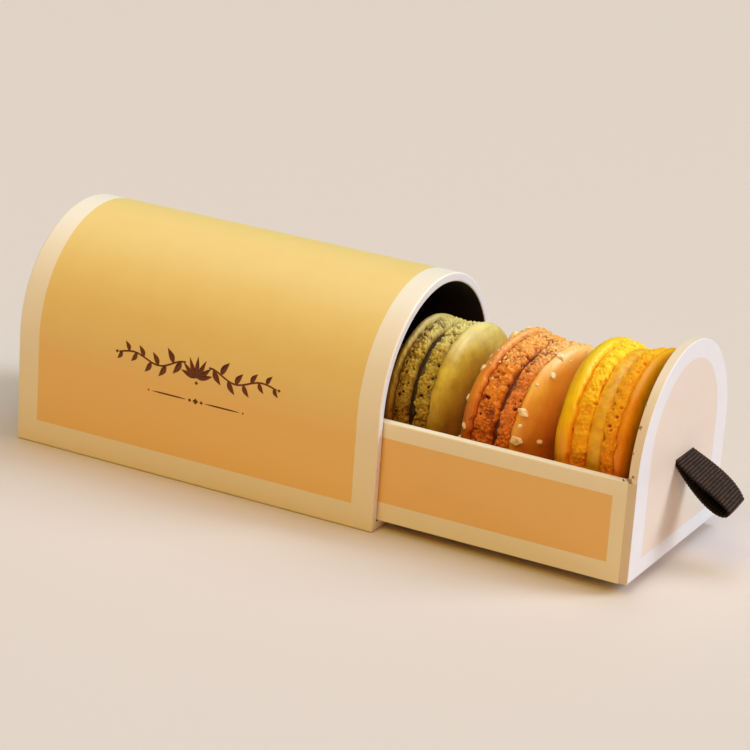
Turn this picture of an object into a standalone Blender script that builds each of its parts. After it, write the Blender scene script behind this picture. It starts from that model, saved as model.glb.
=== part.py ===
"""Box of macarons: a drawer with arched ends, pulled part way out of an arched board sleeve.

Metres, +Z up. The origin is the middle of the sleeve's underside. +X is the way the drawer
slides out, and -Y is the side that shows the drawer's near wall. Three macarons stand on
edge in the open part of the drawer, each of two shells with a filling between them.
"""

import math
import random
from dataclasses import dataclass

import bmesh
import bpy
from mathutils import Matrix, Vector, geometry, noise

# Driving sizes of the board and the box
BOARD = 0.0022
DRAWER_WIDTH = 0.052
WALL_HEIGHT = 0.0242
SLEEVE_LENGTH = 0.099
DRAWER_PULL = 0.0628
SLIDE_CLEARANCE = 0.0003
TOUCH_GAP = 0.0003
ARCH_STEPS = 40

# Driving sizes of the ribbon pull
RIBBON_WIDTH = 0.0102
RIBBON_THICKNESS = 0.0006
RIBBON_CENTRE_Y = 0.0012
RIBBON_NECK_HEIGHT = 0.0225
LOOP_REACH = 0.0138
LOOP_DROP = 0.0098
LOOP_STEPS = 14

# Bends of the ribbon's loop, as shares of its reach and of its drop
LOOP_LEAVE = 0.50
LOOP_ARRIVE = 0.52
LOOP_TUCK = 0.05
TOP_SAG = 0.16
SHOULDER_RISE = 0.40
BELLY_SAG = 0.29
NECK_SAG = 0.24

# Driving sizes that the macarons share
SPIN_STEPS = 56
DOME_STEPS = 6
FOOT_STEPS = 5
RIM_LIP = 0.0007
MERGE_DISTANCE = 0.00002

# Radii of a shell's flat face and of its foot, as shares of the shell's radius
FACE_SHARE = 0.90
FOOT_SHARE = 0.955
FOOT_BULGE = 0.025

# Unevenness of the baked shells: how wide the foot's crumbs are and how far they stand out,
# and how far a shell's round is from a true circle
FOOT_GRAIN = 0.0026
FOOT_PUSH = 0.0013
FOOT_SLIDE = 0.0006
FOOT_LEAST = 0.00015
ROUND_WAVES = 1.1
ROUND_SWELL = 0.008

# Shares of the filling's radius at its two faces and part way to its rim
FILLING_FACE = 0.975
FILLING_RIM = 0.998

# Chips of nut on the amber shells: how they spread, in degrees, and their half lengths
SPREAD_CHIPS = 26
GOLDEN_ANGLE = 137.508
SPREAD_WANDER = 9.0
LOW_RISE = 6.0
HIGH_RISE = 36.0
FLOOR_ARC = 34.0
CHIP_SIZES = (0.0009, 0.0014)
CHIP_LENGTHS = (1.0, 1.4)
CHIP_WIDTHS = (0.6, 0.9)
CHIP_HEIGHT = 0.6

# Chips that face the open side: (degrees round the dome, degrees up it, half length)
SHOWN_CHIPS = {
    "back": ((80, 14, 0.0014), (58, 30, 0.0008), (45, 16, 0.0012), (22, 30, 0.0012),
             (4, 8, 0.0011), (97, 14, 0.0011), (90, 27, 0.0012)),
    "front": ((101, 10, 0.0012), (121, 25, 0.0010), (154, 9, 0.0014), (163, 13, 0.0008),
              (172, 12, 0.0016), (175, 50, 0.0014)),
}
SHOWN_ARC = {"back": (-6.0, 106.0), "front": (90.0, 186.0)}

# Sizes that follow
DRAWER_RADIUS = DRAWER_WIDTH / 2
SLEEVE_INNER_RADIUS = DRAWER_RADIUS + SLIDE_CLEARANCE
SLEEVE_OUTER_RADIUS = SLEEVE_INNER_RADIUS + BOARD
DRAWER_BASE_Z = BOARD + SLIDE_CLEARANCE
SPRING_Z = DRAWER_BASE_Z + WALL_HEIGHT
FLOOR_TOP_Z = DRAWER_BASE_Z + BOARD
MOUTH_X = SLEEVE_LENGTH / 2
DRAWER_BACK_X = DRAWER_PULL - MOUTH_X
DRAWER_FRONT_X = DRAWER_BACK_X + SLEEVE_LENGTH
NECK_Z = DRAWER_BASE_Z + RIBBON_NECK_HEIGHT


@dataclass
class Colour:
    """Linear colour and surface of one material."""

    name: str
    rgb: tuple
    roughness: float = 0.6


GOLD_WRAP = Colour("peach_gold_wrap_paper", (0.76, 0.47, 0.20), 0.45)
CREAM_WRAP = Colour("cream_wrap_paper", (0.83, 0.74, 0.62), 0.5)
DARK_RIBBON = Colour("dark_brown_ribbon", (0.025, 0.018, 0.013), 0.8)
GREEN_SHELL = Colour("olive_green_meringue", (0.50, 0.44, 0.09), 0.6)
AMBER_SHELL = Colour("amber_orange_meringue", (0.78, 0.25, 0.05), 0.55)
YELLOW_SHELL = Colour("yellow_meringue", (0.86, 0.52, 0.02), 0.5)
DARK_FILLING = Colour("dark_brown_filling", (0.06, 0.03, 0.015), 0.5)
CREAM_FILLING = Colour("pale_yellow_cream", (0.78, 0.53, 0.13), 0.5)


@dataclass
class Shell:
    """One shell: the height of its crumbly foot and of the smooth dome on it."""

    foot: float
    dome: float


@dataclass
class Macaron:
    """One macaron: where its filling stands, how it leans and the sizes of its three layers."""

    name: str
    filling_x: float
    radius: float
    filling_thickness: float
    filling_radius: float
    back: Shell
    front: Shell
    dome_power: float
    lean_deg: float
    yaw_deg: float
    shell_colour: Colour
    filling_colour: Colour
    nutty: bool = False


MACARONS = (
    Macaron("green", MOUTH_X + 0.0037, 0.0198, 0.0020, 0.0178, Shell(0.0037, 0.0040),
            Shell(0.0040, 0.0049), 2.5, -2.5, -3.0, GREEN_SHELL, DARK_FILLING),
    Macaron("amber", MOUTH_X + 0.0269, 0.0203, 0.0015, 0.0182, Shell(0.0052, 0.0061),
            Shell(0.0040, 0.0052), 2.2, 3.6, -8.5, AMBER_SHELL, DARK_FILLING, nutty=True),
    Macaron("yellow", MOUTH_X + 0.0500, 0.0219, 0.0036, 0.0204, Shell(0.0038, 0.0064),
            Shell(0.0038, 0.0045), 2.7, -1.5, -2.0, YELLOW_SHELL, CREAM_FILLING),
)


def clear_scene():
    """Remove every object of the scene."""
    for old in list(bpy.data.objects):
        bpy.data.objects.remove(old, do_unlink=True)


def material(colour):
    """Principled material of one colour, made once."""
    made = bpy.data.materials.get(colour.name)
    if made is None:
        made = bpy.data.materials.new(colour.name)
        made.use_nodes = True
        shader = made.node_tree.nodes["Principled BSDF"]
        shader.inputs["Base Color"].default_value = (*colour.rgb, 1.0)
        shader.inputs["Roughness"].default_value = colour.roughness
        shader.inputs["Metallic"].default_value = 0.0
    return made


def add_object(name, bm, colour, smooth_angle=None):
    """Make a named object of a bmesh, with its material."""
    mesh = bpy.data.meshes.new(name)
    bm.to_mesh(mesh)
    bm.free()
    mesh.materials.append(material(colour))
    if smooth_angle is not None:
        mesh.shade_smooth()
        mesh.set_sharp_from_angle(angle=smooth_angle)
    made = bpy.data.objects.new(name, mesh)
    bpy.context.collection.objects.link(made)
    return made


def prism(name, outlines, axis, start, end, colour, smooth_angle=None):
    """Solid of flat outlines pushed along an axis: the first outline is the rim, others are holes.

    Outline points are (y, z) along axis "X" and (x, z) along axis "Y".
    """
    along_x = axis == "X"
    way = Vector((1, 0, 0)) if along_x else Vector((0, 1, 0))
    bm = bmesh.new()
    for outline in outlines:
        corners = [bm.verts.new((start, u, v) if along_x else (u, start, v)) for u, v in outline]
        for first, second in zip(corners, corners[1:] + corners[:1]):
            bm.edges.new((first, second))
    bmesh.ops.triangle_fill(bm, use_beauty=True, edges=bm.edges[:])
    pushed = bmesh.ops.extrude_face_region(bm, geom=bm.faces[:])
    moved = [item for item in pushed["geom"] if isinstance(item, bmesh.types.BMVert)]
    bmesh.ops.translate(bm, verts=moved, vec=way * (end - start))
    bmesh.ops.recalc_face_normals(bm, faces=bm.faces[:])
    return add_object(name, bm, colour, smooth_angle)


def arch_outline(half_width, base_z):
    """Outline of a flat-bottomed arch: straight sides up to the spring line, then a half circle."""
    points = [(-half_width, base_z), (half_width, base_z)]
    for step in range(ARCH_STEPS + 1):
        angle = math.pi * step / ARCH_STEPS
        points.append((half_width * math.cos(angle), SPRING_Z + half_width * math.sin(angle)))
    return points


def box_outline(low_u, high_u, low_v, high_v):
    """Outline of a rectangle."""
    return [(low_u, low_v), (high_u, low_v), (high_u, high_v), (low_u, high_v)]


def build_sleeve():
    """Arched tube of board, open at both ends, that stands on its flat underside."""
    outer = arch_outline(SLEEVE_OUTER_RADIUS, 0.0)
    inner = arch_outline(SLEEVE_INNER_RADIUS, BOARD)
    prism("sleeve", [outer, inner], "X", -MOUTH_X, MOUTH_X, GOLD_WRAP, math.radians(30))


def build_end_panel():
    """Arched front of the drawer, slit for the ribbon pull."""
    panel = prism("drawer_end_panel", [arch_outline(DRAWER_RADIUS, DRAWER_BASE_Z)], "X",
                  DRAWER_FRONT_X - BOARD, DRAWER_FRONT_X, CREAM_WRAP, math.radians(30))
    half_slit = RIBBON_WIDTH / 2 + TOUCH_GAP
    half_height = RIBBON_THICKNESS + TOUCH_GAP
    slit = box_outline(RIBBON_CENTRE_Y - half_slit, RIBBON_CENTRE_Y + half_slit,
                       NECK_Z - half_height, NECK_Z + half_height)
    cutter = prism("slit_cutter", [slit], "X", DRAWER_FRONT_X - 2 * BOARD,
                   DRAWER_FRONT_X + BOARD, CREAM_WRAP)
    cutter.hide_render = True
    cutter.display_type = "WIRE"
    cut = panel.modifiers.new("slit", "BOOLEAN")
    cut.operation = "DIFFERENCE"
    cut.solver = "EXACT"
    cut.object = cutter


def build_drawer():
    """Drawer of five boards: floor, two side walls, the arched front and an arched back."""
    inner_y = DRAWER_RADIUS - BOARD
    walls_back = DRAWER_BACK_X + BOARD + TOUCH_GAP
    walls_front = DRAWER_FRONT_X - BOARD - TOUCH_GAP
    floor_half = inner_y - TOUCH_GAP
    prism("drawer_floor", [box_outline(-floor_half, floor_half, DRAWER_BASE_Z, FLOOR_TOP_Z)],
          "X", walls_back, walls_front, GOLD_WRAP)
    prism("drawer_near_wall", [box_outline(-DRAWER_RADIUS, -inner_y, DRAWER_BASE_Z, SPRING_Z)],
          "X", walls_back, walls_front, GOLD_WRAP)
    prism("drawer_far_wall", [box_outline(inner_y, DRAWER_RADIUS, DRAWER_BASE_Z, SPRING_Z)],
          "X", walls_back, walls_front, GOLD_WRAP)
    prism("drawer_back_panel", [arch_outline(DRAWER_RADIUS, DRAWER_BASE_Z)], "X",
          DRAWER_BACK_X, DRAWER_BACK_X + BOARD, CREAM_WRAP, math.radians(30))
    build_end_panel()


def loop_strand(start, leave, arrive, end):
    """Points of one strand of the ribbon's loop, from a Bezier curve in the XZ plane."""
    knots = [Vector((u, v, 0.0)) for u, v in (start, leave, arrive, end)]
    return [(point.x, point.y) for point in geometry.interpolate_bezier(*knots, LOOP_STEPS)]


def loop_outline(inset):
    """Closed outline of the drooping loop, drawn in by inset on every side."""
    neck_x = DRAWER_FRONT_X + 2 * inset
    tip = (DRAWER_FRONT_X + LOOP_REACH - inset, NECK_Z - LOOP_DROP)
    shoulder_z = tip[1] + SHOULDER_RISE * LOOP_DROP - inset
    belly_z = tip[1] - BELLY_SAG * LOOP_DROP + inset
    return_z = tip[1] - NECK_SAG * LOOP_DROP + inset
    half_neck = RIBBON_THICKNESS - inset
    upper = loop_strand((neck_x, NECK_Z + half_neck),
                        (neck_x + LOOP_LEAVE * LOOP_REACH, NECK_Z - TOP_SAG * LOOP_DROP - inset),
                        (tip[0], shoulder_z), tip)
    lower = loop_strand(tip, (tip[0] - LOOP_TUCK * LOOP_REACH, belly_z),
                        (neck_x + LOOP_ARRIVE * LOOP_REACH, return_z),
                        (neck_x, NECK_Z - half_neck))
    return upper + lower[1:]


def build_ribbon():
    """Ribbon pull: one flat loop whose two ends run together through the slit."""
    inner_end = DRAWER_FRONT_X - BOARD + TOUCH_GAP
    outer = [(inner_end, NECK_Z - RIBBON_THICKNESS), (inner_end, NECK_Z + RIBBON_THICKNESS)]
    outer += loop_outline(0.0)
    inner = loop_outline(RIBBON_THICKNESS)[:-1]
    low_y = RIBBON_CENTRE_Y - RIBBON_WIDTH / 2
    prism("pull_ribbon", [outer, inner], "Y", low_y, low_y + RIBBON_WIDTH, DARK_RIBBON,
          math.radians(35))


def dome_point(macaron, shell, angle):
    """Point of the dome's half section, from its rim at angle 0 to its top at a quarter turn."""
    power = 2 / macaron.dome_power
    rise = (shell.dome - RIM_LIP) * math.sin(angle) ** power
    return shell.foot + RIM_LIP + rise, macaron.radius * max(math.cos(angle), 0.0) ** power


def shell_profile(macaron, shell):
    """Half section of a shell as (axial, radial) points, from its flat face out to its top."""
    radius = macaron.radius
    foot = shell.foot
    points = [(0.0, 0.0), (0.0, FACE_SHARE * radius)]
    for step in range(FOOT_STEPS):
        share = (step + 0.5) / FOOT_STEPS
        bulge = FOOT_SHARE + FOOT_BULGE * math.sin(math.pi * share)
        points.append((foot * share, radius * bulge))
    points.append((foot, FOOT_SHARE * radius))
    for step in range(DOME_STEPS + 1):
        angle = 0.5 * math.pi * step / DOME_STEPS
        axial, radial = dome_point(macaron, shell, angle)
        points.append((axial, radial))
    points[-1] = (points[-1][0], 0.0)
    return points


def spun_solid(profile):
    """Turn a half section round the X axis into a closed bmesh."""
    bm = bmesh.new()
    line = [bm.verts.new((axial, 0.0, radial)) for axial, radial in profile]
    edges = [bm.edges.new(pair) for pair in zip(line, line[1:])]
    bmesh.ops.spin(bm, geom=line + edges, cent=(0, 0, 0), axis=(1, 0, 0), dvec=(0, 0, 0),
                   angle=2 * math.pi, steps=SPIN_STEPS, use_merge=True, use_duplicate=False)
    bmesh.ops.remove_doubles(bm, verts=bm.verts[:], dist=MERGE_DISTANCE)
    bmesh.ops.recalc_face_normals(bm, faces=bm.faces[:])
    return bm


def roughen_foot(bm, macaron, foot, seed_shift):
    """Push the foot's rings in and out, as the crumbly ruffle under a shell is uneven."""
    for vert in bm.verts:
        radial = math.hypot(vert.co.y, vert.co.z)
        on_foot = 0.0 < vert.co.x <= foot and radial > FACE_SHARE * macaron.radius
        if not on_foot:
            continue
        sample = vert.co / FOOT_GRAIN + Vector((seed_shift, 0.0, 0.0))
        push = FOOT_PUSH * noise.noise(sample)
        slide = FOOT_SLIDE * noise.noise(sample + Vector((0.0, 9.0, 0.0)))
        vert.co.y += push * vert.co.y / radial
        vert.co.z += push * vert.co.z / radial
        if vert.co.x < foot - MERGE_DISTANCE:
            vert.co.x = max(FOOT_LEAST, vert.co.x + slide)


def warp_round(bm, radius, seed_shift):
    """Make a round piece slightly uneven, as piped batter never bakes to a true circle."""
    for vert in bm.verts:
        radial = math.hypot(vert.co.y, vert.co.z)
        if radial < MERGE_DISTANCE:
            continue
        around = Vector((vert.co.y, vert.co.z, 0.0)) / radial
        wave = noise.noise(around * ROUND_WAVES + Vector((0.0, 0.0, seed_shift)))
        swell = 1.0 + ROUND_SWELL * wave * radial / radius
        vert.co.y *= swell
        vert.co.z *= swell


def filling_profile(macaron):
    """Half section of the filling disc, its rim slightly bulged."""
    half = macaron.filling_thickness / 2 - TOUCH_GAP / 2
    radius = macaron.filling_radius
    return [(-half, 0.0), (-half, FILLING_FACE * radius), (-half / 2, FILLING_RIM * radius),
            (half / 2, radius), (half, FILLING_FACE * radius), (half, 0.0)]


def dome_normal(macaron, shell, axial, radial):
    """Outward direction of the dome's half section at a point, as (axial, radial)."""
    power = macaron.dome_power - 1
    height = shell.dome - RIM_LIP
    rise = max(axial - shell.foot - RIM_LIP, 0.0) / height
    return Vector((rise ** power / height, (radial / macaron.radius) ** power / macaron.radius))


def chip_places(macaron, side, seed):
    """Places of the nut chips on one dome, as (degrees round it, degrees up it, size) rows.

    The chips that face the open side of the drawer are set one by one. The rest follow a
    golden-angle spread, which leaves out the arc already filled and the part near the floor.
    """
    draw = random.Random(seed)
    rows = list(SHOWN_CHIPS[side])
    first, last = SHOWN_ARC[side]
    for count in range(SPREAD_CHIPS):
        around = (GOLDEN_ANGLE * count + draw.uniform(-SPREAD_WANDER, SPREAD_WANDER)) % 360.0
        rise = LOW_RISE + (HIGH_RISE - LOW_RISE) * (count + 0.5) / SPREAD_CHIPS
        size = draw.uniform(*CHIP_SIZES)
        shown = first <= around <= last or first <= around - 360.0 <= last
        if not shown and abs(around - 270.0) > FLOOR_ARC:
            rows.append((around, rise, size))
    return rows


def add_nut_chips(piece, macaron, shell, side, seed):
    """Fuse the chips of nut into one shell with a single union."""
    chips = bpy.data.collections.new(piece.name + "_chips")
    draw = random.Random(seed + 100)
    for around_deg, rise_deg, size in chip_places(macaron, side, seed):
        around = math.radians(around_deg)
        axial, radial = dome_point(macaron, shell, math.radians(rise_deg))
        along, out = dome_normal(macaron, shell, axial, radial)
        outward = Vector((along, out * math.cos(around), out * math.sin(around))).normalized()
        centre = Vector((axial, radial * math.cos(around), radial * math.sin(around)))
        bm = bmesh.new()
        bmesh.ops.create_icosphere(bm, subdivisions=1, radius=size)
        stretch = Vector((draw.uniform(*CHIP_LENGTHS), draw.uniform(*CHIP_WIDTHS), CHIP_HEIGHT))
        bmesh.ops.scale(bm, vec=stretch, verts=bm.verts[:])
        spin = Matrix.Rotation(draw.uniform(0.0, math.pi), 4, "Z")
        stand = outward.to_track_quat("Z", "Y").to_matrix().to_4x4()
        place = Matrix.Translation(centre) @ stand @ spin
        bmesh.ops.transform(bm, matrix=place, verts=bm.verts[:])
        chip = add_object(piece.name + "_chip", bm, macaron.shell_colour)
        bpy.context.collection.objects.unlink(chip)
        chips.objects.link(chip)
    union = piece.modifiers.new("chips", "BOOLEAN")
    union.operation = "UNION"
    union.solver = "EXACT"
    union.operand_type = "COLLECTION"
    union.collection = chips
    bpy.context.view_layer.update()
    fused = piece.evaluated_get(bpy.context.evaluated_depsgraph_get())
    mesh = bpy.data.meshes.new_from_object(fused)
    piece.modifiers.clear()
    piece.data = mesh
    for chip in list(chips.objects):
        bpy.data.objects.remove(chip, do_unlink=True)
    bpy.data.collections.remove(chips)


def build_macaron(macaron, index):
    """Two shells and the filling between them, stood on edge on the drawer's floor."""
    half = macaron.filling_thickness / 2 + TOUCH_GAP / 2
    pieces = []
    for side, shell, sign in (("back", macaron.back, -1), ("front", macaron.front, 1)):
        seed = 10 * index + sign
        bm = spun_solid(shell_profile(macaron, shell))
        roughen_foot(bm, macaron, shell.foot, 7.0 * seed)
        warp_round(bm, macaron.radius, seed)
        piece = add_object(f"{macaron.name}_{side}_shell", bm, macaron.shell_colour,
                           math.radians(40))
        if macaron.nutty:
            add_nut_chips(piece, macaron, shell, side, seed)
        turn = Matrix.Rotation(0.0 if sign > 0 else math.pi, 4, "Z")
        piece.data.transform(Matrix.Translation((sign * half, 0.0, 0.0)) @ turn)
        pieces.append(piece)
    bm = spun_solid(filling_profile(macaron))
    warp_round(bm, macaron.filling_radius, 3.0 * index + 0.5)
    pieces.append(add_object(f"{macaron.name}_filling", bm, macaron.filling_colour,
                             math.radians(40)))
    lean = Matrix.Rotation(math.radians(macaron.lean_deg), 4, "Y")
    yaw = Matrix.Rotation(math.radians(macaron.yaw_deg), 4, "Z")
    for piece in pieces:
        piece.data.transform(yaw @ lean)
    lowest = min(vert.co.z for piece in pieces for vert in piece.data.vertices)
    lift = FLOOR_TOP_Z + TOUCH_GAP - lowest
    for piece in pieces:
        piece.location = (macaron.filling_x, 0.0, lift)


def main():
    """Build the sleeve, the drawer, its ribbon pull and the macarons."""
    clear_scene()
    build_sleeve()
    build_drawer()
    build_ribbon()
    for index, macaron in enumerate(MACARONS, start=1):
        build_macaron(macaron, index)


main()
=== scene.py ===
"""Looks of a box of macarons: a paper-wrapped drawer box with an arched sleeve, pulled open.

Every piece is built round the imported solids, in metres, in the solids' own frame: +X is the
way the drawer slides out, -Y the side that faces the camera and +Z up. The sleeve and the
drawer are greyboard wrapped in printed paper, the pull is a loop of grosgrain ribbon, and
three macarons stand on edge in the open part of the drawer.
"""

import logging
import math
import random
from collections.abc import Callable, Sequence
from dataclasses import dataclass, field
from enum import Enum
from typing import Any

import bmesh
import bpy
from bmesh.types import BMEdge, BMesh, BMFace, BMVert
from bpy.types import Material, Node, NodeSocket, NodeTree, Object
from mathutils import Matrix, Vector, geometry, noise


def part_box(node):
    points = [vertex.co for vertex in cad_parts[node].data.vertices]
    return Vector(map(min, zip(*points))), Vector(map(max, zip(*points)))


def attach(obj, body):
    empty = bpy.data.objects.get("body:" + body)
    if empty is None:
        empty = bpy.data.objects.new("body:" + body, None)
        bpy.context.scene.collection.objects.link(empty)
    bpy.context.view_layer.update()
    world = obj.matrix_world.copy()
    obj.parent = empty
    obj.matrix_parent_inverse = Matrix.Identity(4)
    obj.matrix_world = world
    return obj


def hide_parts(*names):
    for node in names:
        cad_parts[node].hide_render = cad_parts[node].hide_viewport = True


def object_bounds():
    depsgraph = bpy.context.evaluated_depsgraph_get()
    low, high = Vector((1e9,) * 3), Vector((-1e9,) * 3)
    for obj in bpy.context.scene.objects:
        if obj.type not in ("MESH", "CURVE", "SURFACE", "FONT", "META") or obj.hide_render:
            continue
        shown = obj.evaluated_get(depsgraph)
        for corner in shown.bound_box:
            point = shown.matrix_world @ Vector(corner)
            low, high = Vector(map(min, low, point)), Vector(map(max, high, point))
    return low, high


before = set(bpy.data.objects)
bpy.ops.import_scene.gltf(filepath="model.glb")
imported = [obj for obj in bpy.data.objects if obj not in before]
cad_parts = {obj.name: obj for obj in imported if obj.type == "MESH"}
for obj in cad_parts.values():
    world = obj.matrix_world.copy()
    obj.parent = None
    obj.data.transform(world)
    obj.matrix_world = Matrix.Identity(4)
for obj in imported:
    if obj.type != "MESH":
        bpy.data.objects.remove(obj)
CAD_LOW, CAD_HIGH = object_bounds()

LOG = logging.getLogger("macaron_box")
MM = 0.001
# Points closer than these count as lying on one plane, or on one line of an outline
TOUCH = 0.001 * MM
NEAR = 0.01 * MM
# Edges that turn more than this stay crisp in the light
CREASE = math.radians(40)
AXIS_X = (1.0, 0.0, 0.0)
AXIS_Z = (0.0, 0.0, 1.0)


class Body(Enum):
    """The two bodies of the box: the sleeve, and the drawer with all that it holds."""

    SLEEVE = "sleeve"
    DRAWER = "drawer"


class Side(Enum):
    """The two shells of a macaron: the back one is nearer the sleeve."""

    BACK = -1
    FRONT = 1


def linear(code: str) -> tuple[float, float, float, float]:
    """Turn an sRGB hex colour to linear values.

    Args:
        code: Six hex digits.

    Returns:
        Red, green, blue and an alpha of 1.
    """
    parts = [int(code[place:place + 2], 16) / 255 for place in (0, 2, 4)]
    red, green, blue = (
        part / 12.92 if part <= 0.04045 else ((part + 0.055) / 1.055) ** 2.4 for part in parts
    )
    return red, green, blue, 1.0


def add_node(tree: NodeTree, kind: str, settings: dict[Any, Any] | None = None,
             links: dict[Any, NodeSocket] | None = None) -> Node:
    """Add one shader node.

    Args:
        tree: The material's or world's tree.
        kind: Blender's name of the node.
        settings: Values by the input's name or place, or by the node's own property.
        links: Sockets to join, by the input's name or place.

    Returns:
        The new node.
    """
    node = tree.nodes.new(kind)
    for key, value in (settings or {}).items():
        if isinstance(key, int) or key in node.inputs:
            node.inputs[key].default_value = value
        else:
            setattr(node, key, value)
    for key, socket in (links or {}).items():
        tree.links.new(socket, node.inputs[key])
    return node


def blank_material(name: str) -> tuple[Material, NodeTree, Node]:
    """Make a material with a bare Principled shader.

    Args:
        name: What the real material is.

    Returns:
        The material, its tree and its shader.
    """
    made = bpy.data.materials.new(name)
    made.use_nodes = True
    return made, made.node_tree, made.node_tree.nodes["Principled BSDF"]


def mixed(tree: NodeTree, share: NodeSocket, first: Any, second: Any) -> NodeSocket:
    """Blend two colours by a share.

    Args:
        tree: The material's tree.
        share: 0 gives the first colour and 1 the second.
        first: A colour, or a socket that gives one.
        second: The same.

    Returns:
        The blended colour.
    """
    settings = {"data_type": "RGBA"}
    links = {"Factor": share}
    for place, value in ((6, first), (7, second)):
        if isinstance(value, NodeSocket):
            links[place] = value
        else:
            settings[place] = value
    return add_node(tree, "ShaderNodeMix", settings, links).outputs[2]


def ramped(tree: NodeTree, value: NodeSocket, low: float, high: float) -> NodeSocket:
    """Stretch a value so that low gives 0 and high gives 1, held within that.

    Args:
        tree: The material's tree.
        value: The value to stretch.
        low: Where the result is 0.
        high: Where the result is 1.

    Returns:
        The stretched value.
    """
    settings = {"From Min": low, "From Max": high}
    return add_node(tree, "ShaderNodeMapRange", settings, {"Value": value}).outputs["Result"]


def per_metre(size_mm: float) -> float:
    """Scale of a texture on Object coordinates whose features are size_mm wide."""
    return 1.0 / (size_mm * MM)


@dataclass(frozen=True)
class WrapPaper:
    """Printed wrap paper, satin varnished: a smooth skin that shows faint fibre and mottling.

    The varnish gives a broad soft highlight over the arch, and the sheet under it is never
    quite flat, so the highlight wavers a little. Where foot is given, the paper is painted
    that darker tone low down, between the heights foot_mm, as painted shade for the weaker
    light on the low walls. Rubbed paper is specked: its specks are speck_mm apart and as
    wide as speck_reach, a share of that.
    """

    name: str
    ink: str
    faded: str
    roughness: float = 0.42
    fibre_mm: float = 0.35
    mottle_mm: float = 7.0
    speck: str = "7A5A38"
    speck_mm: float = 5.0
    speck_reach: float = 0.0
    foot: str = ""
    foot_mm: tuple[float, float] = (33.0, 22.0)

    def build(self) -> Material:
        """Make the material.

        Returns:
            The material.
        """
        made, tree, shader = blank_material(self.name)
        place = add_node(tree, "ShaderNodeTexCoord").outputs["Object"]
        mottle = add_node(tree, "ShaderNodeTexNoise",
                          {"Scale": per_metre(self.mottle_mm), "Detail": 3.0}, {"Vector": place})
        fibre = add_node(tree, "ShaderNodeTexNoise",
                         {"Scale": per_metre(self.fibre_mm), "Detail": 4.0}, {"Vector": place})
        shade = ramped(tree, mottle.outputs["Fac"], 0.35, 0.75)
        colour = mixed(tree, shade, linear(self.ink), linear(self.faded))
        # Painted shade: low down, between the heights foot_mm, the paper turns to the darker tone
        # foot
        if self.foot:
            height = add_node(tree, "ShaderNodeSeparateXYZ", None, {0: place}).outputs["Z"]
            start, end = self.foot_mm
            low_shade_share = ramped(tree, height, start * MM, end * MM)
            colour = mixed(tree, low_shade_share, colour, linear(self.foot))
        if self.speck_reach > 0.0:
            specks = add_node(tree, "ShaderNodeTexVoronoi", {"Scale": per_metre(self.speck_mm)},
                              {"Vector": place})
            spot = ramped(tree, specks.outputs["Distance"], self.speck_reach,
                          self.speck_reach / 2)
            colour = mixed(tree, spot, colour, linear(self.speck))
        gloss = add_node(tree, "ShaderNodeMapRange",
                         {"To Min": self.roughness - 0.04, "To Max": self.roughness + 0.06},
                         {"Value": fibre.outputs["Fac"]})
        # Fibre under varnish stands about 4 micrometres proud
        bump = add_node(tree, "ShaderNodeBump", {"Strength": 0.35, "Distance": 0.004 * MM},
                        {"Height": fibre.outputs["Fac"]})
        tree.links.new(colour, shader.inputs["Base Color"])
        tree.links.new(gloss.outputs["Result"], shader.inputs["Roughness"])
        tree.links.new(bump.outputs["Normal"], shader.inputs["Normal"])
        shader.inputs["IOR"].default_value = 1.5
        return made


@dataclass(frozen=True)
class FoilPrint:
    """Hot-stamped copper-brown foil: thin pigmented metal that glints where it faces the light."""

    name: str = "hot_stamped_copper_foil"
    tone: str = "84481F"
    shade: str = "5E2F12"
    roughness: float = 0.38
    grain_mm: float = 0.5

    def build(self) -> Material:
        """Make the material.

        Returns:
            The material.
        """
        made, tree, shader = blank_material(self.name)
        place = add_node(tree, "ShaderNodeTexCoord").outputs["Object"]
        grain = add_node(tree, "ShaderNodeTexNoise",
                         {"Scale": per_metre(self.grain_mm), "Detail": 2.0}, {"Vector": place})
        colour = mixed(tree, grain.outputs["Fac"], linear(self.tone), linear(self.shade))
        bump = add_node(tree, "ShaderNodeBump", {"Strength": 0.3, "Distance": 0.006 * MM},
                        {"Height": grain.outputs["Fac"]})
        tree.links.new(colour, shader.inputs["Base Color"])
        tree.links.new(bump.outputs["Normal"], shader.inputs["Normal"])
        shader.inputs["Metallic"].default_value = 0.6
        shader.inputs["Roughness"].default_value = self.roughness
        return made


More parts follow.
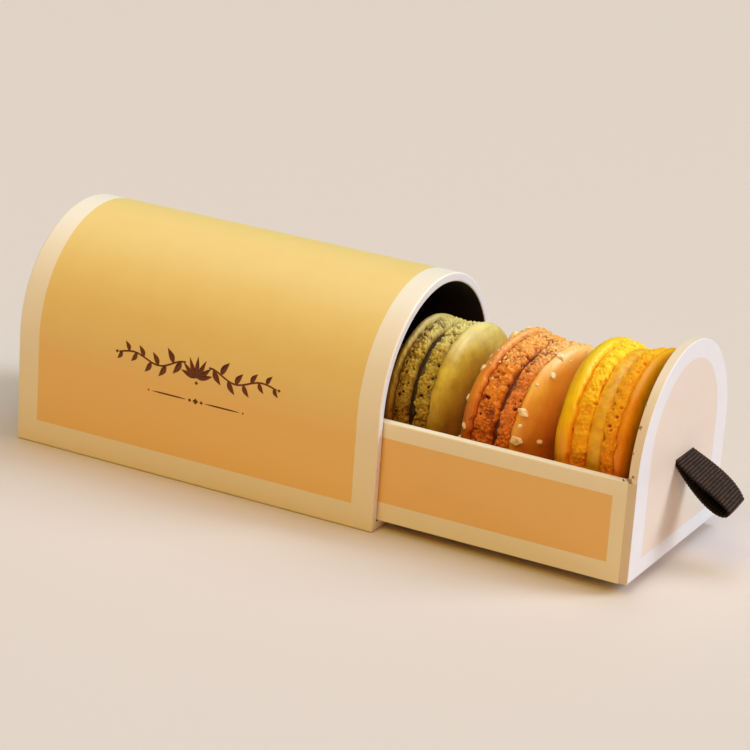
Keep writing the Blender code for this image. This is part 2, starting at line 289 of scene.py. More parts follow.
@dataclass(frozen=True)
class Grosgrain:
    """Woven polyester grosgrain: heavy ribs across, bundled warp along, a dull sheen and lint."""

    name: str = "woven_grosgrain_ribbon"
    thread: str = "080403"
    crest_highlight: str = "54402F"
    bundle_mm: float = 1.76
    lint_mm: float = 0.9

    def build(self) -> Material:
        """Make the material.

        Returns:
            The material.
        """
        made, tree, shader = blank_material(self.name)
        place = add_node(tree, "ShaderNodeTexCoord").outputs["Object"]
        # At scale 1 a wave texture repeats every 2 pi / 20
        warp = add_node(tree, "ShaderNodeTexWave",
                        {"bands_direction": "Y",
                         "Scale": per_metre(self.bundle_mm) * 2.0 * math.pi / 20.0,
                         "Distortion": 1.2, "Detail": 2.0}, {"Vector": place})
        crest = add_node(tree, "ShaderNodeAttribute", {"attribute_name": "crest"})
        lint = add_node(tree, "ShaderNodeTexNoise",
                        {"Scale": per_metre(self.lint_mm), "Detail": 3.0}, {"Vector": place})
        uneven = ramped(tree, lint.outputs["Fac"], 0.2, 0.6)
        # Painted highlight: the ribs' crests are painted lighter than the thread, as where light
        # catches them, varied by the lint
        light = add_node(tree, "ShaderNodeMath", {"operation": "MULTIPLY"},
                         {0: ramped(tree, crest.outputs["Fac"], 0.8, 1.05), 1: uneven})
        colour = mixed(tree, light.outputs["Value"], linear(self.thread), linear(self.crest_highlight))
        bump = add_node(tree, "ShaderNodeBump", {"Strength": 0.5, "Distance": 0.03 * MM},
                        {"Height": warp.outputs["Fac"]})
        tree.links.new(colour, shader.inputs["Base Color"])
        tree.links.new(bump.outputs["Normal"], shader.inputs["Normal"])
        shader.inputs["Roughness"].default_value = 0.7
        shader.inputs["Specular IOR Level"].default_value = 0.16
        shader.inputs["Sheen Weight"].default_value = 0.04
        shader.inputs["Sheen Roughness"].default_value = 0.4
        return made


@dataclass(frozen=True)
class Meringue:
    """Baked almond meringue: a satin skin over the dome and an open crumb at the foot.

    The skin dries before it bakes, so it is smooth and a little glossy, while the foot boils
    up from under it and sets rough, pale on its crests; its holes are painted dark, as painted
    shade.

    Attributes:
        name: What the finish is.
        skin: The dome's skin.
        toasted: The skin's toasted patches and flecks.
        crumb: The foot's crests.
        pit: Painted shade in the foot's hollows and under the skirt; the faint lines round the shell.
        low_shade_tint: What the colour is multiplied by at the low edge, as painted shade.
        pale: The colour at the top edge, as painted light.
        streak: How strong the faint lines are.
        streak_mm: Their size across and along.
        flour: How much the skin pales where light grazes it.
        gloss: How much it shines.
        low_shade_mm: The heights where the painted shade starts and is full.
        top_light_mm: The heights where the painted light at the top starts and is full.
        skin_roughness: How rough the skin is; the foot is rougher.
        mottle_mm: Size of the toasted patches.
        fleck_mm: How far apart the flecks are.
        grit_mm: Size of the ground almond's grains.
    """

    name: str
    skin: str
    toasted: str
    crumb: str
    pit: str
    low_shade_tint: str
    pale: str
    streak: float = 0.0
    streak_mm: tuple[float, float] = (0.9, 8.0)
    flour: float = 0.1
    gloss: float = 0.5
    low_shade_mm: tuple[float, float] = (38.0, 20.0)
    top_light_mm: tuple[float, float] = (40.0, 49.0)
    skin_roughness: float = 0.44
    mottle_mm: float = 5.0
    fleck_mm: float = 0.9
    grit_mm: float = 0.3

    def build(self) -> Material:
        """Make the material. Its attributes crumb and pit come from the shell's relief.

        Returns:
            The material.
        """
        made, tree, shader = blank_material(self.name)
        place = add_node(tree, "ShaderNodeTexCoord").outputs["Object"]
        crumb = add_node(tree, "ShaderNodeAttribute", {"attribute_name": "crumb"}).outputs["Fac"]
        grit = add_node(tree, "ShaderNodeTexNoise",
                        {"Scale": per_metre(self.grit_mm), "Detail": 3.0},
                        {"Vector": place}).outputs["Fac"]
        # Painted shade and painted light: each shell is painted browner towards its lowest edge,
        # where less light reaches it, and paler towards its top, where the light from above falls
        height = add_node(tree, "ShaderNodeSeparateXYZ", None, {0: place}).outputs["Z"]
        painted_shade_share, painted_light_share = (ramped(tree, height, start * MM, end * MM)
                          for start, end in (self.low_shade_mm, self.top_light_mm))
        skin = mixed(tree, painted_light_share, self.skin_colour(tree, place), linear(self.pale))
        colour = mixed(tree, crumb, skin, self.foot_colour(tree, grit, painted_light_share))
        colour = mixed(tree, self.line_strength(tree, place), colour, linear(self.pit))
        colour = add_node(tree, "ShaderNodeMix",
                          {"data_type": "RGBA", "blend_type": "MULTIPLY",
                           7: linear(self.low_shade_tint)},
                          {"Factor": painted_shade_share, 6: colour}).outputs[2]
        rough = add_node(tree, "ShaderNodeMapRange",
                         {"To Min": self.skin_roughness, "To Max": 0.85}, {"Value": crumb})
        # The grains of ground almond stand a few micrometres proud
        bump = add_node(tree, "ShaderNodeBump", {"Strength": 0.4, "Distance": 0.03 * MM},
                        {"Height": grit})
        tree.links.new(colour, shader.inputs["Base Color"])
        tree.links.new(rough.outputs["Result"], shader.inputs["Roughness"])
        tree.links.new(bump.outputs["Normal"], shader.inputs["Normal"])
        shader.inputs["Subsurface Weight"].default_value = 0.25
        shader.inputs["Subsurface Radius"].default_value = (2.2 * MM, 1.0 * MM, 0.35 * MM)
        shader.inputs["Subsurface Scale"].default_value = 1.0
        shader.inputs["IOR"].default_value = 1.45
        # The dried skin is floury, so it pales where the light grazes it
        shader.inputs["Sheen Weight"].default_value = self.flour
        shader.inputs["Sheen Roughness"].default_value = 0.45
        shader.inputs["Specular IOR Level"].default_value = self.gloss
        return made

    def skin_colour(self, tree: NodeTree, place: NodeSocket) -> NodeSocket:
        """Colour the dome's skin: mottled where it toasted, and finely flecked.

        Args:
            tree: The material's tree.
            place: Where each point lies.

        Returns:
            The colour.
        """
        mottle = add_node(tree, "ShaderNodeTexNoise",
                          {"Scale": per_metre(self.mottle_mm), "Detail": 5.0,
                           "Roughness": 0.6}, {"Vector": place}).outputs["Fac"]
        fleck = add_node(tree, "ShaderNodeTexVoronoi", {"Scale": per_metre(self.fleck_mm)},
                         {"Vector": place}).outputs["Distance"]
        toasted = linear(self.toasted)
        skin = mixed(tree, ramped(tree, mottle, 0.38, 0.68), linear(self.skin), toasted)
        return mixed(tree, ramped(tree, fleck, 0.22, 0.08), skin, toasted)

    def foot_colour(self, tree: NodeTree, grit: NodeSocket, painted_light_share: NodeSocket) -> NodeSocket:
        """Colour the foot: toasted grains on its crests, and painted shade in its hollows.

        Args:
            tree: The material's tree.
            grit: The grains of ground almond.
            painted_light_share: How far each point is painted paler for its height, as painted light.

        Returns:
            The colour.
        """
        pit = add_node(tree, "ShaderNodeAttribute", {"attribute_name": "pit"}).outputs["Fac"]
        crest = mixed(tree, ramped(tree, grit, 0.4, 0.75), linear(self.crumb),
                      linear(self.toasted))
        # Painted light: the crests pale towards the top too
        crest = mixed(tree, painted_light_share, crest, linear(self.pale))
        # Painted shade: the hollows, holes and the groove under the skirt darken to pit
        return mixed(tree, ramped(tree, pit, 0.08, 0.9), crest, linear(self.pit))

    def line_strength(self, tree: NodeTree, place: NodeSocket) -> NodeSocket:
        """Make the faint lines that run round a shell because it rose unevenly.

        Args:
            tree: The material's tree.
            place: Where each point lies.

        Returns:
            How strong the line is at each point.
        """
        across, along = map(per_metre, self.streak_mm)
        stretched = add_node(tree, "ShaderNodeVectorMath",
                             {"operation": "MULTIPLY", 1: (across, along, along)}, {0: place})
        line = add_node(tree, "ShaderNodeTexNoise", {"Scale": 1.0, "Detail": 3.0},
                        {"Vector": stretched.outputs["Vector"]}).outputs["Fac"]
        return add_node(tree, "ShaderNodeMath", {"operation": "MULTIPLY", 1: self.streak},
                        {0: ramped(tree, line, 0.5, 0.72)}).outputs["Value"]


@dataclass(frozen=True)
class SoftFilling:
    """Ganache or buttercream: a soft fatty paste, smooth and slightly shiny where it was squeezed."""

    name: str
    tone: str
    shade: str
    roughness: float = 0.45
    streak_mm: float = 1.6

    def build(self) -> Material:
        """Make the material.

        Returns:
            The material.
        """
        made, tree, shader = blank_material(self.name)
        place = add_node(tree, "ShaderNodeTexCoord").outputs["Object"]
        streak = add_node(tree, "ShaderNodeTexNoise",
                          {"Scale": per_metre(self.streak_mm), "Detail": 4.0},
                          {"Vector": place}).outputs["Fac"]
        colour = mixed(tree, ramped(tree, streak, 0.35, 0.7), linear(self.tone),
                       linear(self.shade))
        bump = add_node(tree, "ShaderNodeBump", {"Strength": 0.4, "Distance": 0.05 * MM},
                        {"Height": streak})
        tree.links.new(colour, shader.inputs["Base Color"])
        tree.links.new(bump.outputs["Normal"], shader.inputs["Normal"])
        shader.inputs["Roughness"].default_value = self.roughness
        shader.inputs["Subsurface Weight"].default_value = 0.1
        shader.inputs["Subsurface Radius"].default_value = (1.2 * MM, 0.8 * MM, 0.5 * MM)
        shader.inputs["Subsurface Scale"].default_value = 1.0
        return made


@dataclass(frozen=True)
class ChoppedNut:
    """Chopped blanched nut: waxy ivory flesh, browner where the oven caught it."""

    name: str = "chopped_blanched_nut"
    flesh: str = "FCE9B4"
    toasted: str = "D9A860"
    toast_mm: float = 1.4

    def build(self) -> Material:
        """Make the material.

        Returns:
            The material.
        """
        made, tree, shader = blank_material(self.name)
        place = add_node(tree, "ShaderNodeTexCoord").outputs["Object"]
        toast = add_node(tree, "ShaderNodeTexNoise",
                         {"Scale": per_metre(self.toast_mm), "Detail": 3.0},
                         {"Vector": place}).outputs["Fac"]
        colour = mixed(tree, ramped(tree, toast, 0.45, 0.75), linear(self.flesh),
                       linear(self.toasted))
        tree.links.new(colour, shader.inputs["Base Color"])
        shader.inputs["Roughness"].default_value = 0.5
        shader.inputs["Subsurface Weight"].default_value = 0.15
        shader.inputs["Subsurface Radius"].default_value = (0.8 * MM, 0.6 * MM, 0.4 * MM)
        shader.inputs["Subsurface Scale"].default_value = 1.0
        return made


# Painted shade: the sleeve's field turns to its darker foot tone low on the walls
SLEEVE_FIELD = WrapPaper("satin_peach_gold_wrap_paper", "ECD485", "EBD181", 0.46, foot="EEC672")
# Painted shade: the drawer's field is the sleeve's peach-gold ink painted deeper for the low walls
DRAWER_FIELD_PAINTED_SHADE = WrapPaper("satin_peach_gold_drawer_paper", "ECC273", "EBC070", 0.46)
# Painted light: the end panels' field is the sleeve's peach ink painted paler, as strong light makes
# it look
PANEL_FIELD_PAINTED_LIGHT = WrapPaper("satin_pale_peach_panel_paper", "EADCCC", "E8D9C7")
# Painted shade: the border turns to its darker foot tone low on the walls, and its ivory tint, warmer
# than the white paper, is partly painted warm shade
BORDER_PAPER = WrapPaper("satin_ivory_border_paper", "F2EEDC", "F1EDDA", foot="ECE4C2")
WHITE_PAPER = WrapPaper("satin_white_panel_paper", "EBECEE", "E9EAEB")
# Painted shade: the panels' narrow sides below the spring line are their wrap painted a darker tan
SIDE_PAPER_PAINTED_SHADE = WrapPaper("satin_cream_side_paper", "DACBB0", "D7C6A8")
WORN_EDGE_PAPER = WrapPaper("cream_edge_paper_with_specks", "EAE0CA", "E5D8BC",
                            speck_reach=0.075, speck_mm=6.0)
TORN_BOARD = WrapPaper("torn_brown_board", "C49A68", "94683C", roughness=0.9)
LINING_PAPER = WrapPaper("matt_black_lining_paper", "16110E", "1E1814", roughness=0.7)
FOIL = FoilPrint()
RIBBON_CLOTH = Grosgrain()
# Painted shade and light: the last two colours of each meringue are its painted shade low down and
# its painted light on top
GREEN_MERINGUE = Meringue("olive_green_meringue", "CEB836", "B29426", "C2AE40", "3C2806",
                          "E0C490", "F2F2AA", streak=0.2)
AMBER_MERINGUE = Meringue("amber_orange_meringue", "F4BC44", "E8A130", "E67E20", "7C2404",
                          "FFE0A0", "F8D888", streak=0.08, flour=0.16, gloss=0.9)
# Painted shade: darker, browner copies of the amber and yellow meringues, for shells that sit in
# deeper shade
AMBER_MERINGUE_PAINTED_SHADE = Meringue("amber_meringue_painted_shade", "EC9C2C", "D8821C", "EE9624", "7C2404",
                               "F0C48C", "F4BE68", streak=0.08, flour=0.05, gloss=0.7)
YELLOW_MERINGUE = Meringue("bright_yellow_meringue", "FCD402", "F6B802", "F4C402", "DC7A02",
                           "F8C4A0", "FEDC28", streak=0.3, flour=0.0)
YELLOW_MERINGUE_PAINTED_SHADE = Meringue("yellow_meringue_painted_shade", "F4A404", "EA8C02", "F2BA02", "D06A02",
                                "F2BC98", "F8B80C", streak=0.3, flour=0.0)
DARK_GANACHE = SoftFilling("dark_brown_ganache", "3E2C16", "261A0C")
RED_GANACHE = SoftFilling("red_brown_ganache", "7A3A28", "52241A")
YELLOW_BUTTERCREAM = SoftFilling("pale_yellow_buttercream", "F0C22C", "E0A01A", 0.5)
NUT = ChoppedNut()
TOASTED_CRUMB = ChoppedNut("toasted_nut_crumb", "EFD295", "DDA85C")


def new_piece(name: str, bm: BMesh, materials: Sequence[Material], body: Body,
              replaced: Sequence[str] = ()) -> Object:
    """Make a finished piece of a bmesh and tie it to the frame.

    Args:
        name: The piece's name.
        bm: Its shape, in place in the frame; it is freed.
        materials: Its materials, in the order that its faces count them.
        body: The body that it rides on.
        replaced: The solids that it stands for.

    Returns:
        The piece's object.
    """
    mesh = bpy.data.meshes.new(name)
    bm.to_mesh(mesh)
    bm.free()
    for made in materials:
        mesh.materials.append(made)
    mesh.shade_smooth()
    piece = bpy.data.objects.new(name, mesh)
    bpy.context.scene.collection.objects.link(piece)
    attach(piece, body.value)
    if replaced:
        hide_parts(*replaced)
    LOG.info("%s: %d faces, rides on %s", name, len(mesh.polygons), body.value)
    return piece


def flat_faces_stay_flat(piece: Object) -> None:
    """Keep a board's flat faces flat in the light: only its rounded edges shade as round."""
    piece.data.set_sharp_from_angle(angle=CREASE)
    piece.modifiers.new("weighted_normals", "WEIGHTED_NORMAL").keep_sharp = True


def cut(bm: BMesh, point: Sequence[float], normal: Sequence[float]) -> None:
    """Score a bmesh along a plane.

    Args:
        bm: The shape.
        point: A point on the plane.
        normal: The plane's normal.
    """
    geom = bm.verts[:] + bm.edges[:] + bm.faces[:]
    bmesh.ops.bisect_plane(bm, geom=geom, plane_co=point, plane_no=normal, dist=TOUCH)


def round_edges(bm: BMesh, edges: Sequence[BMEdge], width: float, segments: int = 3) -> None:
    """Round chosen edges, as paper drawn over board does.

    Args:
        bm: The shape.
        edges: The edges to round.
        width: How far from each edge the rounding starts.
        segments: How many strips it has.
    """
    bmesh.ops.bevel(bm, geom=list(edges), offset=width, offset_type="OFFSET", affect="EDGES",
                    segments=segments, profile=0.5, material=-1, clamp_overlap=True)


def random_way(draw: random.Random) -> Vector:
    """Draw a direction, every one as likely."""
    return Vector((draw.gauss(0, 1), draw.gauss(0, 1), draw.gauss(0, 1))).normalized()


@dataclass(frozen=True)
class Arch:
    """A flat-bottomed arch across the box: straight sides up to a spring line, then a half circle."""

    half_width: float
    base_z: float
    spring_z: float
    steps: int = 72

    def wire(self, bm: BMesh, x: float) -> list[BMEdge]:
        """Draw the arch as a closed wire, by spinning its shoulder over to the other side.

        Args:
            bm: Where to draw it.
            x: Its place along the box.

        Returns:
            The edges of the wire.
        """
        shoulder = bm.verts.new((x, self.half_width, self.spring_z))
        foot = bm.verts.new((x, self.half_width, self.base_z))
        far_foot = bm.verts.new((x, -self.half_width, self.base_z))
        spun = bmesh.ops.spin(bm, geom=[shoulder], cent=(x, 0.0, self.spring_z),
                              axis=AXIS_X, dvec=(0.0, 0.0, 0.0), angle=math.pi,
                              steps=self.steps, use_merge=False, use_duplicate=False)
        end = next(item for item in spun["geom_last"] if isinstance(item, BMVert))
        for pair in ((end, far_foot), (far_foot, foot), (foot, shoulder)):
            bm.edges.new(pair)
        return bm.edges[:]

    def shrunk_onto(self, inner: "Arch", point: Vector) -> Vector:
        """Place a point of this arch on a smaller one, shoulder to shoulder and base to base.

        Args:
            inner: The smaller arch.
            point: A point on, or close to, this arch.

        Returns:
            The point that matches it on the smaller arch.
        """
        share = inner.half_width / self.half_width
        base_zone = self.base_z + 0.1 * self.half_width
        if point.z > self.spring_z + NEAR:
            z = inner.spring_z + (point.z - self.spring_z) * share
        elif point.z > base_zone:
            z = inner.spring_z
        else:
            z = inner.base_z
        return Vector((point.x, point.y * share, z))


@dataclass
class Sleeve:
    """The arched sleeve: one board folded round, wrapped in print outside and lined black."""

    board: float
    spring_z: float
    border: float = 5.8 * MM
    border_top_z: float = 6.0 * MM
    edge_round: float = 0.45 * MM

    def build(self, papers: dict[str, Material]) -> Object:
        """Model the sleeve and dress it.

        Args:
            papers: The wrap papers by name.

        Returns:
            The sleeve's object.
        """
        low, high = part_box("sleeve")
        bm = bmesh.new()
        outline = Arch(high.y, low.z, self.spring_z).wire(bm, low.x)
        skin = bmesh.ops.extrude_edge_only(bm, edges=outline)
        moved = [item for item in skin["geom"] if isinstance(item, BMVert)]
        bmesh.ops.translate(bm, verts=moved, vec=(high.x - low.x, 0.0, 0.0))
        for x in (low.x + self.border, high.x - self.border):
            cut(bm, (x, 0.0, 0.0), AXIS_X)
        cut(bm, (0.0, 0.0, self.border_top_z), AXIS_Z)
        bmesh.ops.recalc_face_normals(bm, faces=bm.faces[:])
        for face in bm.faces:
            centre = face.calc_center_median()
            inside = low.x + self.border < centre.x < high.x - self.border
            face.material_index = 1 if inside and centre.z > self.border_top_z else 0
        # Slots 2 and 3 line the inside of the border and of the field, slot 4 is the rims
        materials = (papers["border"], papers["sleeve_field"], papers["lining"],
                     papers["lining"], papers["white"])
        piece = new_piece("sleeve_wrapped", bm, materials, Body.SLEEVE,
                          ("sleeve",))
        wall = piece.modifiers.new("board", "SOLIDIFY")
        wall.thickness = self.board
        wall.offset = -1.0
        wall.use_even_offset = True
        wall.material_offset = 2
        wall.material_offset_rim = 4
        rim = piece.modifiers.new("rounded_rims", "BEVEL")
        rim.width = self.edge_round
        rim.segments = 3
        rim.limit_method = "ANGLE"
        rim.angle_limit = CREASE
        rim.harden_normals = True
        return piece


@dataclass
class FoilOrnament:
    """A leafy scroll stamped in foil on the sleeve's near side, with a tapered rule below it."""

    radius: float
    spring_z: float
    centre_x: float = 0.75 * MM
    main_z: float = 28.7 * MM
    half_length: float = 21.6 * MM
    stem_start: float = 3.2 * MM
    stem: float = 0.42 * MM
    stem_runs: int = 14
    wave_height: float = 1.5 * MM
    waves: float = 1.5
    leaves: int = 9
    leaf_reach: float = 4.2 * MM
    leaf_shortening: float = 1.9 * MM
    leaf_width: float = 1.55 * MM
    leaf_lean_deg: float = 58.0
    leaf_curl: float = 0.22 * MM
    fan_rays: int = 7
    fan_start_deg: float = 20.0
    fan_root: float = 0.5 * MM
    fan_drop: float = 2.0 * MM
    fan_reach: float = 3.4 * MM
    fan_rise: float = 2.0 * MM
    fan_width: float = 1.2 * MM
    bead_drop: float = 3.1 * MM
    rule_z: float = 21.0 * MM
    rule_start: float = 2.6 * MM
    rule_half: float = 12.0 * MM
    rule_width: float = 0.36 * MM
    stand: float = 0.04 * MM

    def wrapped(self, u: float, v: float, proud: float) -> Vector:
        """Lay a point of the flat design on the sleeve.

        Args:
            u: Along the sleeve from the design's middle.
            v: Height up the paper, measured from the spring line.
            proud: How far it stands off the paper.

        Returns:
            The point in the frame.
        """
        x = self.centre_x + u
        if v <= 0.0:
            return Vector((x, -self.radius - proud, self.spring_z + v))
        angle = v / self.radius
        reach = self.radius + proud
        return Vector((x, -reach * math.cos(angle), self.spring_z + reach * math.sin(angle)))

    def blade(self, bm: BMesh, start: Vector, end: Vector, width: float,
              outline: Callable[[float], float], curl: float = 0.0) -> None:
        """Add one flat blade of the design, from a grid shaped to its outline.

        Args:
            bm: Where to add it.
            start: One end as (u, v).
            end: The other end.
            width: Its full width at its widest.
            outline: Half width, as a share, by the share of the way along it.
            curl: How far its middle bows to the side.
        """
        along = end - start
        side = Vector((-along.y, along.x)).normalized()
        grid = bmesh.ops.create_grid(bm, x_segments=12, y_segments=2, size=0.5)
        for vert in grid["verts"]:
            share = vert.co.x + 0.5
            across = 2.0 * vert.co.y * outline(share) * width / 2
            bow = curl * math.sin(math.pi * share)
            point = start + along * share + side * (across + bow)
            vert.co = self.wrapped(point.x, point.y, self.stand)

    @staticmethod
    def leaf_outline(share: float) -> float:
        """Half width of a leaf: round near its stalk, drawn out to a point."""
        return max(math.sin(math.pi * share ** 0.75), 0.02)

    @staticmethod
    def line_outline(share: float) -> float:
        """Half width of a rule that tapers to both ends."""
        return max(1.0 - (2.0 * share - 1.0) ** 4, 0.15)

    @staticmethod
    def lozenge_outline(share: float) -> float:
        """Half width of a lozenge."""
        return max(1.0 - abs(2.0 * share - 1.0), 0.02)

    def stem_height(self, u: float) -> float:
        """Height of the scroll's stem above its middle line, which fades towards its tip."""
        share = abs(u) / self.half_length
        fade = 1.0 - 0.55 * share
        return fade * self.wave_height * math.sin(2.0 * math.pi * self.waves * share)

    def build(self, material: Material) -> Object:
        """Model the ornament and dress it.

        Args:
            material: The foil.

        Returns:
            The ornament's object.
        """
        bm = bmesh.new()
        middle = self.main_z - self.spring_z
        rule = self.rule_z - self.spring_z
        self.fan(bm, middle)
        for sign in (-1.0, 1.0):
            self.scroll(bm, sign, middle)
            self.half_rule(bm, sign, rule)
        self.lozenge(bm, 0.0, rule, 1.5 * MM)
        self.lozenge(bm, 0.0, middle - self.bead_drop, 1.0 * MM)
        bmesh.ops.recalc_face_normals(bm, faces=bm.faces[:])
        piece = new_piece("foil_ornament", bm, (material,), Body.SLEEVE)
        foil = piece.modifiers.new("foil", "SOLIDIFY")
        foil.thickness = 2 * self.stand
        foil.offset = -1.0
        return piece

    def lozenge(self, bm: BMesh, u: float, v: float, size: float) -> None:
        """Add a small lozenge, size across."""
        self.blade(bm, Vector((u - size / 2, v)), Vector((u + size / 2, v)), size,
                   self.lozenge_outline)

    def fan(self, bm: BMesh, middle: float) -> None:
        """Add the fan of pointed rays that both halves of the scroll spring from.

        Args:
            bm: Where to add it.
            middle: Height of the scroll's middle line.
        """
        sweep_deg = 180.0 - 2.0 * self.fan_start_deg
        for ray in range(self.fan_rays):
            angle = math.radians(self.fan_start_deg + sweep_deg * ray / (self.fan_rays - 1))
            reach = self.fan_reach + self.fan_rise * math.sin(angle)
            root = Vector((self.fan_root * math.cos(angle), middle - self.fan_drop))
            tip = root + Vector((math.cos(angle), math.sin(angle))) * reach
            self.blade(bm, root, tip, self.fan_width, self.leaf_outline)

    def half_rule(self, bm: BMesh, sign: float, height: float) -> None:
        """Add one half of the tapered rule, with a lozenge before and after it.

        Args:
            bm: Where to add it.
            sign: 1 to the right of the middle, -1 to the left.
            height: The rule's height.
        """
        for u, size in ((1.6 * MM, 0.9 * MM), (self.rule_half + 1.0 * MM, 0.55 * MM)):
            self.lozenge(bm, sign * u, height, size)
        self.blade(bm, Vector((sign * self.rule_start, height)),
                   Vector((sign * self.rule_half, height)), self.rule_width, self.line_outline)

    def scroll(self, bm: BMesh, sign: float, middle: float) -> None:
        """Add one half of the scroll: a waving stem with leaves to both sides of it.

        Args:
            bm: Where to add it.
            sign: 1 to the right of the middle, -1 to the left.
            middle: Height of the middle line.
        """
        start, length = self.stem_start, self.half_length - self.stem_start
        stops = [start + length * run / self.stem_runs for run in range(self.stem_runs + 1)]
        for first, second in zip(stops, stops[1:]):
            self.blade(bm, Vector((sign * first, middle + self.stem_height(first))),
                       Vector((sign * second, middle + self.stem_height(second))),
                       self.stem, lambda share: 1.0)
        for leaf in range(self.leaves):
            share = (leaf + 0.6) / self.leaves
            u = start + length * share
            way = 1.0 if leaf % 2 else -1.0
            lean = math.radians(way * self.leaf_lean_deg)
            reach = self.leaf_reach - self.leaf_shortening * share
            root = Vector((sign * u, middle + self.stem_height(u)))
            tip = root + Vector((sign * math.cos(lean), math.sin(lean))) * reach
            width = self.leaf_width * (1.0 - 0.35 * share)
            self.blade(bm, root, tip, width, self.leaf_outline, self.leaf_curl * sign * way)
        self.lozenge(bm, sign * (self.half_length + 0.6 * MM),
                     middle + self.stem_height(self.half_length), 0.9 * MM)


